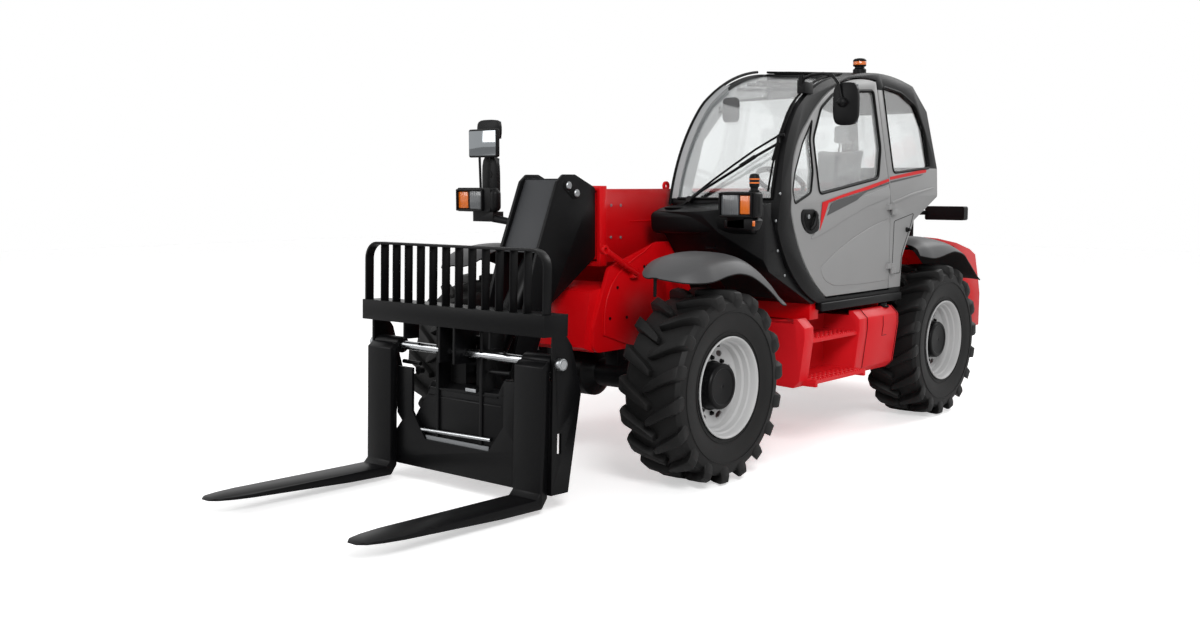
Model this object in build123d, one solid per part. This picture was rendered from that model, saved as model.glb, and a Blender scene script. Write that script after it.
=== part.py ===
from build123d import *
import math
import os

# Telehandler with a fork carriage. Millimetres. The front of the machine faces -Y, its left
# side (the cab) faces +X and Z is up. While the pieces are made, y = 0 is the front axle;
# they are moved to the middle of the overall length when they are written.

# ---- driving dimensions ----
wheelbase = 3106
axle_height = 615
half_track = 968
tyre_radius = 615
tyre_width = 445
rim_seat_radius = 305
rim_flange_radius = 323
rim_half_width = 190
rim_wall = 12
kingpin_x = 810
hub_radius = 150
hub_face = 150
spindle_reach = 30
axle_end_radius = 60
axle_end_reach = 62.3
wheel_sides = 28
lugs_per_side = 18
rear_overhang = 1370
rear_body_half_width = 900
running_gap = 0.05
seat_gap = 0.3

frame_half_width = 330
frame_plate = 30
frame_bottom = 470
frame_over_axle = 790
frame_top = 1030

boom_half_width = 175
boom_bottom = 1360
boom_top = 1850
boom_wall = 10
boom_front = -110
boom_pivot_y = wheelbase + 444
boom_rear = boom_pivot_y + 170
boom_pivot_z = 1620
boom_pin_radius = 50
boom_slack = 16
lift_base_y = wheelbase - 256
lift_base_z = 950
lift_eye_y = 1480
lift_eye_z = 1250
lift_barrel_radius = 85
lift_rod_radius = 45
telescope_length = 3400

head_plate = 25
head_pin_y = -280
head_pin_z = 1800
tilt_pivot_y = -930
tilt_pivot_z = 380
tilt_eye_y = -977
tilt_eye_z = 717
tilt_barrel_radius = 75
tilt_rod_radius = 40

fork_length = 1260
fork_width = 224
fork_thickness = 60
fork_centre = 658
fork_front = -1305
fork_bottom = 19
carriage_tilt = 1.7
shank_top = 866
shaft_radius = 28
shaft_y = -1199
shaft_z = 852

carriage_half_width = 798
carriage_plate = 20
beam_bottom = 1010
beam_top = 1136
beam_depth = 200
beam_proud = 20
guard_top = 1508
guard_bars = 12
guard_bar_width = 42

cab_inner_x = 270
cab_outer_x = 1070
cab_shoulder_z = 1800
cab_roof_edge_x = 930
cab_floor_z = 1045
cab_wall = 42
cab_glass_inset = 14
cab_glass = 6
cab_sweep_back = 130
cab_sweep_down = 50
door_seam_y = wheelbase - 806
door_gap = 14
door_hinge_out = 24
door_hinge_radius = 16

engine_rear_y = wheelbase - 626

tank_top = 922
tank_shoulder = 956
tank_bottom = 473
tank_outer_x = 1128
tank_rear_y = wheelbase - 741
steps_front_y = 965
steps_rear_y = 1860
step_post = 118
step_plate = 26

fender_inner_x = 720
fender_outer_x = 1170
fender_wall = 10

mirror_outer_x = 1430
overall_right_x = half_track + tyre_width / 2

# the overall box, whose middle at the ground is the origin
fork_reach = tilt_pivot_y - fork_front + fork_length
fork_drop = tilt_pivot_z - fork_bottom - 36
tilt_sine = math.sin(math.radians(carriage_tilt))
tilt_cosine = math.cos(math.radians(carriage_tilt))
fork_tip_y = tilt_pivot_y - fork_reach * tilt_cosine - fork_drop * tilt_sine
front_axle_y = -(wheelbase + rear_overhang + fork_tip_y) / 2
centre_plane_x = -(mirror_outer_x - overall_right_x) / 2


# ---- helpers ----
def block(x0, x1, y0, y1, z0, z1):
    centre = ((x0 + x1) / 2, (y0 + y1) / 2, (z0 + z1) / 2)
    return Pos(*centre) * Box(abs(x1 - x0), abs(y1 - y0), abs(z1 - z0))


def bar(start, end, radius):
    """A round bar between two points."""
    a = Vector(*start)
    b = Vector(*end)
    plane = Plane(origin=a, z_dir=b - a)
    return extrude(plane * Circle(radius), (b - a).length)


def cross_bar(x0, x1, y, z, radius):
    """A round bar along X."""
    return bar((x0, y, z), (x1, y, z), radius)


def side_outline(points, rounding=0):
    """A face in the YZ plane through the given (y, z) points."""
    face = make_face(Plane.YZ * Polyline(*points, close=True))
    if rounding:
        face = fillet(face.vertices(), rounding)
    return face


def side_plate(points, x0, x1, rounding=0):
    """A plate of constant outline, standing between two x values."""
    return extrude(Pos(x0, 0, 0) * side_outline(points, rounding), x1 - x0, dir=(1, 0, 0))


def inset_outline(edges, inset):
    """The face inside a clockwise outline, drawn in by the inset on every side."""
    count = len(edges)
    corners = []
    for i in range(count):
        before = edges[i - 1] % 1
        after = edges[i] % 0
        inward = [Vector(t.Y, -t.X) for t in (before, after)]
        share = inset / (1 + inward[0].dot(inward[1]))
        corners.append(edges[i] @ 0 + (inward[0] + inward[1]) * share)
    moved = []
    for i, edge in enumerate(edges):
        start = corners[i]
        end = corners[(i + 1) % count]
        if edge.geom_type == GeomType.CIRCLE:
            tangent = edge % 0.5
            middle = edge @ 0.5 + Vector(tangent.Y, -tangent.X) * inset
            moved.append(ThreePointArc(start, middle, end))
        else:
            moved.append(Line(start, end))
    return make_face(moved)


def tip_back(shape):
    """Lean a piece of the carriage back about the tilt pivot."""
    pivot = Pos(0, tilt_pivot_y, tilt_pivot_z)
    return pivot * Rot(-carriage_tilt, 0, 0) * pivot.inverse() * shape


def both_sides(shape):
    return shape + mirror(shape, about=Plane.YZ)


def join(shapes):
    result = shapes[0]
    for shape in shapes[1:]:
        result = result + shape
    return result


def ring(profile, x, y, z):
    """A body of revolution about an axle along X, from (x, radius) points."""
    face = make_face(Polyline(*profile, close=True))
    return Pos(x, y, z) * revolve(face, Axis.X)


def faceted_ring(profile, sides, x, y, z):
    """A closed ring of flat facets about an axle along X, from (x, radius) points."""
    rows = []
    for i in range(sides):
        angle = 2 * math.pi * i / sides
        rows.append([Vector(px, r * math.sin(angle), r * math.cos(angle)) for px, r in profile])
    faces = []
    for i in range(sides):
        here = rows[i]
        beyond = rows[(i + 1) % sides]
        for k in range(len(profile)):
            n = (k + 1) % len(profile)
            faces.append(make_face(Polyline(here[k], here[n], beyond[n], beyond[k], close=True)))
    return Pos(x, y, z) * Solid(Shell(faces))


# ---- chassis ----
def make_chassis():
    arc_centre_z = 950
    front = side_outline([
        (-330, 790), (-330, arc_centre_z), (-170, 1340), (350, 1490), (520, 1490), (800, frame_top),
        (wheelbase - 406, frame_top), (wheelbase + 74, 1500), (wheelbase + 224, 1700),
        (wheelbase + 674, 1700), (wheelbase + 794, 1250), (wheelbase + 1014, 1200), (wheelbase + 1014, 740),
        (wheelbase + 534, frame_over_axle), (wheelbase - 466, frame_over_axle),
        (wheelbase - 606, frame_bottom),
        (560, frame_bottom), (430, frame_over_axle)], 60)
    plate = extrude(Pos(frame_half_width - frame_plate, 0, 0) * front, frame_plate, dir=(1, 0, 0))
    inner = frame_half_width - frame_plate
    parts = [plate, mirror(plate, about=Plane.YZ)]
    nose = side_plate([(-400, 830), (-330, 1190), (-40, 1230), (-40, frame_over_axle),
                       (-300, frame_over_axle)], -inner, inner)
    parts.append(nose)
    parts.append(block(-inner, inner, 620, wheelbase - 626, frame_bottom, frame_bottom + 20))
    parts.append(block(-inner, inner, 400, 640, frame_over_axle, frame_over_axle + 60))
    parts.append(block(-inner, inner, wheelbase - 406, wheelbase + 394, 815, 845))
    parts.append(block(-inner, inner, wheelbase + 754, wheelbase + 974, 800, 1180))
    for side in (-1, 1):
        parts.append(block(side * 62, side * 92, lift_base_y - 58, lift_base_y + 58, 840, lift_base_z))
        parts.append(cross_bar(side * 62, side * 92, lift_base_y, lift_base_z, 60))
    parts.append(cross_bar(-92, 92, lift_base_y, lift_base_z, 32))
    parts.append(cross_bar(-frame_half_width - 30, frame_half_width + 30,
                           boom_pivot_y, boom_pivot_z, boom_pin_radius))
    # the beams that carry the cab on the left and the engine on the right
    for y in (1250, door_seam_y - 50):
        parts.append(block(frame_half_width, 1030, y - 60, y + 60, 930, cab_floor_z))
    for y in (900, door_seam_y):
        parts.append(block(-frame_half_width, -1040, y - 60, y + 60, 520, 600))
    return {"chassis_frame": join(parts)}


def make_axle(y, input_side):
    """A steering axle: beam, centre case, and a yoke at each end that holds the kingpin."""
    yoke_height = 175
    wall_gap = 100
    wall = 40
    parts = [cross_bar(-kingpin_x + wall_gap + 10, kingpin_x - wall_gap - 10, y, axle_height, 95)]
    parts.append(ring([(-130, 0), (-130, 95), (-70, 168), (70, 168), (130, 95), (130, 0)],
                      0, y, axle_height))
    parts.append(bar((0, y, axle_height), (0, y + input_side * 330, axle_height + 20), 80))
    for side in (-1, 1):
        x0 = side * (kingpin_x - wall_gap - wall)
        x1 = side * (kingpin_x + 55)
        parts.append(block(x0, side * (kingpin_x - wall_gap), y - 75, y + 75,
                           axle_height - yoke_height, axle_height + yoke_height))
        for top in (-1, 1):
            z0 = axle_height + top * (yoke_height - 35)
            parts.append(block(x0, x1, y - 60, y + 60, z0, z0 + top * 35))
            parts.append(bar((side * kingpin_x, y, z0 - top * 45),
                             (side * kingpin_x, y, z0), 25))
        parts.append(block(side * 210, side * 320, y - 70, y + 70,
                           axle_height + 60, frame_over_axle))
    return join(parts)


def make_knuckle(side, y):
    """The steered housing between the kingpins and the wheel flange."""
    height = 132
    body = block(side * (kingpin_x - 50), side * (kingpin_x + 70), y - 70, y + 70,
                 axle_height - height, axle_height + height)
    body -= bar((side * kingpin_x, y, axle_height - 300), (side * kingpin_x, y, axle_height + 300),
                25 + running_gap)
    spindle = cross_bar(side * (kingpin_x + 60), side * (half_track + spindle_reach), y, axle_height, 110)
    arm = block(side * (kingpin_x - 30), side * (kingpin_x + 60), y + 60, y + 190,
                axle_height - 110, axle_height - 70)
    axle_end = cross_bar(side * (half_track + spindle_reach - 10), side * (half_track + axle_end_reach - seat_gap), y,
                         axle_height, axle_end_radius)
    return body + spindle + arm + axle_end


def make_rim(side, y):
    """A stepped steel rim with its disc and the planetary hub."""
    seat = rim_seat_radius
    half = rim_half_width
    wall = rim_wall
    flange = rim_flange_radius
    disc = 58
    barrel = [(-half - wall, seat - wall), (-half - wall, flange), (-half, seat), (half, seat),
              (half + wall, flange), (half + wall, seat - wall), (half - 55, seat - wall - 8),
              (disc + 10, seat - 45), (disc, seat - 60), (disc, hub_radius - 30), (disc - 12, hub_radius - 30),
              (disc - 12, seat - 50), (disc - 40, seat - wall - 8)]
    rim = faceted_ring([(side * x, radius) for x, radius in barrel], wheel_sides, side * half_track, y,
                       axle_height)
    back = spindle_reach + seat_gap
    hub = [(back, 1), (back, hub_radius - 28), (disc, hub_radius - 28), (disc, hub_radius),
           (hub_face - 12, hub_radius - 4), (hub_face, hub_radius - 14), (hub_face, 1)]
    hub = faceted_ring([(side * x, radius) for x, radius in hub], wheel_sides, side * half_track, y,
                       axle_height)
    core = cross_bar(side * (half_track + back), side * (half_track + hub_face), y, axle_height, 8)
    socket = cross_bar(side * (half_track + back - 1), side * (half_track + axle_end_reach), y, axle_height,
                       axle_end_radius + running_gap)
    return join([rim, hub, core]) - socket


def make_lug(side):
    """One traction lug: from the middle of the tread over the shoulder and down the sidewall."""
    half_angle = math.radians(2.9)
    wide = tyre_width / 2
    # across, swing in degrees, radius of the tip and of the foot, share of the full width
    stations = ((-16, -6.0, tyre_radius - 5, tyre_radius - 62, 0.6),
                (wide * 0.5, 0.0, tyre_radius / math.cos(half_angle), tyre_radius - 65, 1.0),
                (wide, 6.5, tyre_radius - 40, tyre_radius - 118, 1.2))
    rows = []
    for across, swing, tip, foot, share in stations:
        row = []
        for radius, turn in ((foot, -1.25), (tip, -1), (tip, 1), (foot, 1.25)):
            angle = math.pi + side * (math.radians(swing) + turn * share * half_angle)
            x = across - (22 if radius == foot and across == wide else 0)
            row.append(Vector(side * x, radius * math.sin(angle), radius * math.cos(angle)))
        rows.append(row)
    faces = [make_face(Polyline(*row, close=True)) for row in (rows[0], rows[-1])]
    for here, beyond in zip(rows, rows[1:]):
        for k in range(4):
            n = (k + 1) % 4
            faces.append(make_face(Polyline(here[k], here[n], beyond[n], close=True)))
            faces.append(make_face(Polyline(here[k], beyond[n], beyond[k], close=True)))
    return Solid(Shell(faces))


def make_tyre():
    """A hollow casing with chevron lugs, about the middle of its axle."""
    half = rim_half_width
    wide = tyre_width / 2
    bead = rim_seat_radius
    outer = [(-half, bead), (-half - 4, rim_flange_radius + 8), (-wide + 8, 480), (-half, tyre_radius - 62),
             (-60, tyre_radius - 50)]
    profile = outer + [(-x, radius) for x, radius in reversed(outer)]
    profile += [(half - 30, bead), (half - 40, tyre_radius - 85), (40 - half, tyre_radius - 85),
                (30 - half, bead)]
    casing = faceted_ring(profile, wheel_sides, 0, 0, 0)
    lugs = []
    step = 360 / lugs_per_side
    for side in (-1, 1):
        lug = make_lug(side)
        lugs += [Rot((i + side / 4 - 0.25) * step, 0, 0) * lug for i in range(lugs_per_side)]
    return casing + lugs


# ---- boom ----
def make_boom_outer():
    w = boom_half_width
    t = boom_wall
    tube = block(-w, w, boom_front, boom_rear, boom_bottom, boom_top)
    tube -= block(-w + t, w - t, boom_front - 1, boom_rear - 100, boom_bottom + t, boom_top - t)
    collar = block(-w - 22, w + 22, boom_front, boom_front + 70, boom_bottom - 22, boom_top + 22)
    collar -= block(-w + t, w - t, boom_front - 1, boom_front + 80, boom_bottom + t, boom_top - t)
    boss = cross_bar(-frame_half_width + frame_plate + 5, frame_half_width - frame_plate - 5,
                     boom_pivot_y, boom_pivot_z, 95)
    body = join([tube, collar, boss])
    gap = boom_slack - seat_gap
    for side in (-1, 1):
        lug = side_plate([(lift_eye_y - 75, lift_eye_z - 60), (lift_eye_y + 75, lift_eye_z - 60),
                          (lift_eye_y + 150, boom_bottom), (lift_eye_y - 150, boom_bottom)],
                         side * 52, side * 77)
        body += lug
        # wear pads that guide the inner section at both ends of its overlap
        for y in (boom_front + 10, 1500):
            body += block(side * (w - t), side * (w - t - gap), y, y + 120,
                          boom_bottom + t + 60, boom_top - t - 60)
    for y in (boom_front + 10, 1500):
        body += block(-100, 100, y, y + 120, boom_bottom + t, boom_bottom + t + gap)
        body += block(-100, 100, y, y + 120, boom_top - t - gap, boom_top - t)
    body -= cross_bar(-400, 400, boom_pivot_y, boom_pivot_z, boom_pin_radius + running_gap)
    return {"boom_outer": body}


def inner_half_width():
    return boom_half_width - boom_wall - boom_slack


def make_boom_inner():
    w = inner_half_width()
    z0 = boom_bottom + boom_wall + boom_slack
    z1 = boom_top - boom_wall - boom_slack
    front = -330
    rear = front + telescope_length
    tube = block(-w, w, front, rear, z0, z1)
    tube -= block(-w + 10, w - 10, front - 1, rear + 1, z0 + 10, z1 - 10)
    cut = side_plate([(front - 10, z0 - 10), (front + 130, z0 - 10), (front - 10, z0 + 150)], -w - 1, w + 1)
    tube -= cut
    tube -= block(-w + 10, w - 10, front - 1, head_pin_y + 100, z1 - 11, z1 + 1)
    tube -= cross_bar(-w - 1, w + 1, head_pin_y, head_pin_z, 30)
    return {"boom_inner": tube}


def make_boom_head():
    """Two deep side plates, wrapped in front, that carry the tilt pivot near the ground."""
    w = inner_half_width()
    outline = [(-500, 1900), (-440, 1945), (-330, 1945), (-130, 1860), (-130, 1400), (-560, 1120),
               (-790, 640), (-840, 300), (-930, 290), (-1030, 340), (-1030, 460), (-700, 1430)]
    plate = side_plate(outline, w, w + head_plate, 28)
    plates = both_sides(plate)
    wrap = side_plate([(-455, 1905), (-395, 1905), (-375, 1885), (-440, 1885), (-643, 1440),
                       (-661, 1447)], -w, w)
    parts = [plates, wrap]
    parts.append(cross_bar(-w, w, head_pin_y, head_pin_z, 30))
    parts.append(cross_bar(-w - head_plate - 30, w + head_plate + 30, tilt_pivot_y, tilt_pivot_z, 35))
    parts.append(block(-w, w, -880, -800, 420, 520))
    return {"boom_head": join(parts)}


def unit(start, end):
    dy = end[0] - start[0]
    dz = end[1] - start[1]
    length = math.hypot(dy, dz)
    return dy / length, dz / length, length


def make_cylinder(base, eye, barrel_radius, rod_radius, eye_width, pin_radius, gland_gap, retract):
    """A barrel with its base eye, and a rod with its own eye, along the line between two pins."""
    uy, uz, length = unit(base, eye)

    def along(distance):
        return (0, base[0] + uy * distance, base[1] + uz * distance)

    barrel_start = pin_radius + 45
    barrel_end = length - gland_gap
    barrel = bar(along(barrel_start), along(barrel_end), barrel_radius)
    bore_depth = barrel_start + 40
    barrel -= bar(along(bore_depth), along(barrel_end + 1), rod_radius + running_gap)
    base_eye = cross_bar(-eye_width / 2, eye_width / 2, base[0], base[1], pin_radius + 38)
    neck = bar(along(pin_radius + 20), along(barrel_start + 2), 38)
    barrel = barrel + base_eye + neck
    barrel -= cross_bar(-200, 200, base[0], base[1], pin_radius + running_gap)
    rod = bar(along(bore_depth + retract), along(length - 30), rod_radius)
    rod += cross_bar(-eye_width / 2, eye_width / 2, eye[0], eye[1], pin_radius + 28)
    rod -= cross_bar(-200, 200, eye[0], eye[1], pin_radius)
    return barrel, rod


# ---- carriage and forks ----
def make_tool_carrier():
    """The quick hitch: it turns about the tilt pivot and carries the fork carriage."""
    w = inner_half_width() + head_plate
    inner = w + 6
    outer = inner + 25
    rear = fork_front + fork_thickness + carriage_plate
    cheek = side_plate([(rear, 250), (rear, 1000), (-1090, 1000), (-1010, 760), (-870, 460),
                        (-860, 330), (-960, 290), (-1120, 250)], inner, outer, 14)
    parts = [both_sides(cheek)]
    parts.append(block(-outer, outer, -1125, -1085, 900, 950))
    lug = side_plate([(-1120, 640), (-1120, 800), (-1090, 800), (tilt_eye_y - 10, tilt_eye_z + 50),
                      (tilt_eye_y + 50, tilt_eye_z + 20), (tilt_eye_y + 50, tilt_eye_z - 50),
                      (tilt_eye_y - 60, tilt_eye_z - 70)], 46, 66, 10)
    parts.append(both_sides(lug))
    for side in (-1, 1):
        parts.append(block(side * 46, side * inner, -1120, -1095, 640, 950))
    # the folded front panel, which closes the hitch between the forks
    panel = side_plate([(rear + 30, 400), (rear + 30, 590), (rear + 75, 640), (-1095, 640), (-1095, 620),
                        (rear + 85, 620), (rear + 50, 580), (rear + 50, 410), (-1095, 350), (-1095, 330)],
                       -outer - 110, outer + 110)
    parts.append(panel)
    body = join(parts)
    body -= cross_bar(-400, 400, tilt_pivot_y, tilt_pivot_z, 35 + running_gap)
    body -= cross_bar(-400, 400, shaft_y, shaft_z, shaft_radius + running_gap)
    return {"tool_carrier": body}


def make_carriage():
    half = carriage_half_width
    face = fork_front + fork_thickness
    t = carriage_plate
    side_points = [(face, 95), (face, beam_bottom), (-1135, beam_bottom), (-1085, 950), (-1000, 670),
                   (-1100, 95)]
    side = side_plate(side_points, half - t, half)
    slot = block(half - t - 1, half + 1, -1200, -1165, 330, 450)
    parts = [both_sides(side - slot)]
    beam_front = fork_front - beam_proud
    beam = block(-half, half, beam_front, beam_front + beam_depth, beam_bottom, beam_top)
    beam -= block(-half + t, half - t, beam_front + t, beam_front + beam_depth + 1,
                  beam_bottom - 1, beam_top - t)
    parts.append(beam)
    front = make_face(Plane.XZ * Polyline((-half + t, 95), (-half + t, 300), (-548, 318), (-500, 375),
                                          (-545, 420), (-545, 720), (-405, 720), (-405, 445), (-280, 280),
                                          (280, 280), (405, 445), (405, 720), (545, 720), (545, 420),
                                          (500, 375), (548, 318), (half - t, 300), (half - t, 95),
                                          close=True))
    plate = extrude(Pos(0, face, 0) * front, t, dir=(0, 1, 0))
    parts.append(plate)
    for x in (-90, 40):
        parts.append(block(x, x + 18, fork_front - 10, face + 110, 790, beam_bottom + 40))
    carriage = join(parts)
    carriage -= cross_bar(-1000, 1000, shaft_y, shaft_z, shaft_radius + running_gap)
    return {"carriage_frame": carriage}


def make_guard():
    """The load backrest: vertical bars between two end bars with rounded top corners."""
    half = carriage_half_width - 12
    top = guard_top
    y0 = fork_front - 10
    y1 = y0 + 60
    outline = make_face(Plane.XZ * Polyline((-half, beam_top), (-half, top), (half, top), (half, beam_top),
                                            close=True))
    outline = fillet([v for v in outline.vertices() if v.Z > top - 1], 110)
    wide = guard_bar_width
    inside = make_face(Plane.XZ * Polyline((-half + 16, beam_top - 10), (-half + 16, top - 16),
                                           (half - 16, top - 16), (half - 16, beam_top - 10), close=True))
    inside = fillet([v for v in inside.vertices() if v.Z > top - 20], 94)
    frame = extrude(Pos(0, y0, 0) * (outline - inside), wide + 18, dir=(0, 1, 0))
    bars = [frame]
    pitch = (2 * half - 2 * 45) / (guard_bars + 1)
    for i in range(guard_bars):
        x = -half + 45 + pitch * (i + 1)
        bars.append(block(x - 5, x + 5, y0, y0 + wide, beam_top, top - 8))
    return {"backrest_guard": join(bars)}


def make_fork(side):
    """One forged fork: a tapering blade, a shank and the eye that hangs on the shaft."""
    x0 = side * fork_centre - fork_width / 2
    x1 = x0 + fork_width
    top = fork_bottom + fork_thickness
    rear = fork_front + fork_thickness
    profile = side_outline([(fork_front - fork_length, fork_bottom + 30), (fork_front - fork_length + 30,
                           fork_bottom + 42), (fork_front - 30, top), (fork_front, top + 30),
                           (fork_front, shank_top - 30), (fork_front + 40, shank_top),
                           (rear, shank_top), (rear, fork_bottom + 60), (rear - 45, fork_bottom),
                           (fork_front - 300, fork_bottom)])
    body = extrude(Pos(x0, 0, 0) * profile, fork_width, dir=(1, 0, 0))
    tip = fork_front - fork_length
    for edge in (-1, 1):
        x_edge = x0 if edge < 0 else x1
        wedge = make_face(Polyline((x_edge, tip - 5), (x_edge, tip + 260), (x_edge - edge * 14, tip + 130),
                                   (x_edge - edge * 38, tip + 45), (x_edge - edge * 80, tip - 5), close=True))
        body -= extrude(wedge, 400)
    eye = cross_bar(x0, x1, shaft_y, shaft_z, shaft_radius + 24)
    eye += block(x0, x1, rear - 2, shaft_y, shaft_z - 45, shaft_z + 18)
    body += eye
    body -= cross_bar(-1000, 1000, shaft_y, shaft_z, shaft_radius + running_gap)
    return body


# ---- cab ----
def cab_side_profile(inset):
    """The side outline of the cab: sill, front pillar, roof limit and back."""
    seam = door_seam_y
    edges = [
        ThreePointArc((1251, cab_floor_z), (841, 1322), (655, 1700)),
        Line((655, 1700), (560, 1760)),
        Line((560, 1760), (560, 2860)),
        Line((560, 2860), (seam + 400, 2860)),
        Line((seam + 400, 2860), (seam + 804, 2468)),
        Line((seam + 804, 2468), (seam + 865, 2002)),
        Line((seam + 865, 2002), (seam + 805, 1782)),
        Line((seam + 805, 1782), (seam + 402, 1600)),
        Line((seam + 402, 1600), (seam + 209, 1316)),
        Line((seam + 209, 1316), (seam + 183, cab_floor_z)),
        Line((seam + 183, cab_floor_z), (1251, cab_floor_z)),
    ]
    return inset_outline(edges, inset)


def cab_front_profile(inset):
    """The curve of windshield and roof, square to the direction in which it runs."""
    roof_end = door_seam_y + 480
    edges = [
        ThreePointArc((545, 1500), (625, 1960), (950, 2450)),
        ThreePointArc((950, 2450), (1280, 2632), (1740, 2730)),
        ThreePointArc((1740, 2730), (2230, 2785), (roof_end, 2720)),
        Line((roof_end, 2720), (roof_end + 720, 2470)),
        Line((roof_end + 720, 2470), (roof_end + 720, 900)),
        Line((roof_end + 720, 900), (545, 900)),
        Line((545, 900), (545, 1500)),
    ]
    return inset_outline(edges, inset)


def cab_solid(inset):
    """The whole cab, smaller by the inset on every side."""
    width = cab_outer_x - cab_inner_x
    side = extrude(Plane.YZ.offset(cab_inner_x + inset) * cab_side_profile(inset), width - 2 * inset)
    sweep = Plane(origin=(cab_inner_x, 0, 0), x_dir=(-cab_sweep_back, width, 0),
                  z_dir=(width, cab_sweep_back, -cab_sweep_down))
    front = extrude(sweep * cab_front_profile(inset), 1200, both=True)
    lean = math.atan2(cab_outer_x - cab_roof_edge_x, 2650 - cab_shoulder_z)
    big = 1200
    wedge = Pos(cab_outer_x - inset, 0, cab_shoulder_z) * Rot(0, -math.degrees(lean), 0) * (
        Pos(big / 2, 2000, big / 2) * Box(big, 6000, big))
    return (side & front) - wedge


def make_cab():
    outer = cab_solid(0)
    shell = outer - cab_solid(cab_wall)
    glass = cab_solid(cab_glass_inset) - cab_solid(cab_glass_inset + cab_glass)
    side_zone = [cab_outer_x - 300, cab_outer_x + 50]
    seam = door_seam_y
    door_edges = [
        Line((door_seam_y, 1075), (1343, 1075)),
        ThreePointArc((1343, 1075), (975, 1420), (850, 1700)),
        ThreePointArc((850, 1700), (935, 2045), (1185, 2320)),
        ThreePointArc((1185, 2320), (1690, 2610), (door_seam_y, 2670)),
        Line((door_seam_y, 2670), (door_seam_y, 1075)),
    ]
    side_depth = side_zone[1] - side_zone[0]
    door_zone = extrude(Plane.YZ.offset(side_zone[0]) * inset_outline(door_edges, 0), side_depth)
    door_body = extrude(Plane.YZ.offset(side_zone[0]) * inset_outline(door_edges, door_gap), side_depth)
    main_window = side_plate([(1232, 1815), (1240, 2200), (1400, 2420), (1600, 2530), (1802, 2563),
                              (seam - 75, 2590), (seam - 75, 2150), (seam - 170, 1930)], side_zone[0],
                             side_zone[1], 35)
    quarter = side_plate([(935, 1755), (1120, 1825), (1175, 1960), (1180, 2215), (1020, 2070),
                          (935, 1900)], side_zone[0], side_zone[1], 12)
    rear_side = side_plate([(seam + 85, 1970), (seam + 85, 2630), (seam + 380, 2600), (seam + 605, 2510),
                            (seam + 720, 2300), (seam + 730, 2015)], side_zone[0], side_zone[1], 30)
    right_side = side_plate([(760, 1830), (900, 2180), (1240, 2480), (seam - 100, 2560), (seam + 600, 2450),
                             (seam + 700, 2010), (seam + 400, 1830)], cab_inner_x - 50, cab_inner_x + 200, 30)
    wind = make_face(Plane.XZ * Polyline((cab_inner_x + 28, 1780), (cab_outer_x - 62, 1780),
                                         (cab_outer_x - 78, 1990), (cab_roof_edge_x - 30, 2600),
                                         (cab_roof_edge_x - 50, 2900), (cab_inner_x + 28, 2900),
                                         close=True))
    windshield = extrude(Pos(0, 300, 0) * wind, 1440, dir=(0, 1, 0))
    back = make_face(Plane.XZ * Polyline((cab_inner_x + 60, 2020), (cab_outer_x - 120, 2020),
                                         (cab_roof_edge_x - 50, 2460), (cab_inner_x + 60, 2460),
                                         close=True))
    rear_window = extrude(Pos(0, seam + 750, 0) * back, 200, dir=(0, 1, 0))
    fixed = [windshield, rear_window, rear_side, right_side]
    frame = shell - door_zone
    panes = []
    for opening in fixed:
        frame = frame - opening
        panes.append(glass & opening)
    door = (shell & door_body) - main_window - quarter
    door_panes = [glass & main_window, glass & quarter]
    # the rear quarter panel, with the post between the door and the rear side window
    quarter_zone = side_plate([(seam, 1090), (seam, 2600), (seam + 80, 2600), (seam + 80, 2010),
                               (seam + 1000, 2010), (seam + 1000, 1090)], cab_outer_x - 240, cab_outer_x + 50)
    panel = frame & quarter_zone
    frame = frame - quarter_zone
    # hinges behind the door, outside the panel
    axis_x = cab_outer_x + door_hinge_out
    r = door_hinge_radius
    for z in (1200, 1650):
        panel += block(cab_outer_x - 10, axis_x, door_seam_y + 4, door_seam_y + 70, z, z + 40)
        panel += bar((axis_x, door_seam_y, z), (axis_x, door_seam_y, z + 40), r)
        panel += block(cab_outer_x + 4, axis_x, door_seam_y - 4, door_seam_y + 10, z, z + 40)
        panel += bar((axis_x, door_seam_y, z), (axis_x, door_seam_y, z + 80), 8)
        leaf = bar((axis_x, door_seam_y, z + 40 + seat_gap), (axis_x, door_seam_y, z + 80), r)
        leaf += block(cab_outer_x - 10, axis_x, door_seam_y - 70, door_seam_y - 8,
                      z + 40 + seat_gap, z + 80)
        leaf += block(cab_outer_x + 8, axis_x, door_seam_y - 20, door_seam_y, z + 40 + seat_gap, z + 80)
        leaf -= bar((axis_x, door_seam_y, z), (axis_x, door_seam_y, z + 100), 8 + running_gap)
        door += leaf
    seat = make_seat()
    return {
        "cab_frame": frame,
        "cab_panel": panel,
        "cab_glass": Compound(children=[s for pane in panes for s in pane.solids()]),
        "door": door,
        "door_glass": Compound(children=[s for pane in door_panes for s in pane.solids()]),
        "seat": seat,
        "steering_column": make_steering(),
    }


def make_seat():
    x0 = 400
    x1 = 860
    floor = cab_floor_z + cab_wall
    base = block(x0 + 80, x1 - 80, 1760, 2150, floor, floor + 330)
    cushion = block(x0, x1, 1680, 2180, floor + 330, floor + 450)
    cushion = fillet(cushion.edges().filter_by(Axis.Z), 60)
    back = side_plate([(2140, floor + 450), (2280, floor + 450), (2400, floor + 1080),
                       (2310, floor + 1100)], x0 + 10, x1 - 10)
    head = block(x0 + 120, x1 - 120, 2320, 2420, floor + 1070, floor + 1270)
    return join([base, cushion, back, head])


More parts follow.
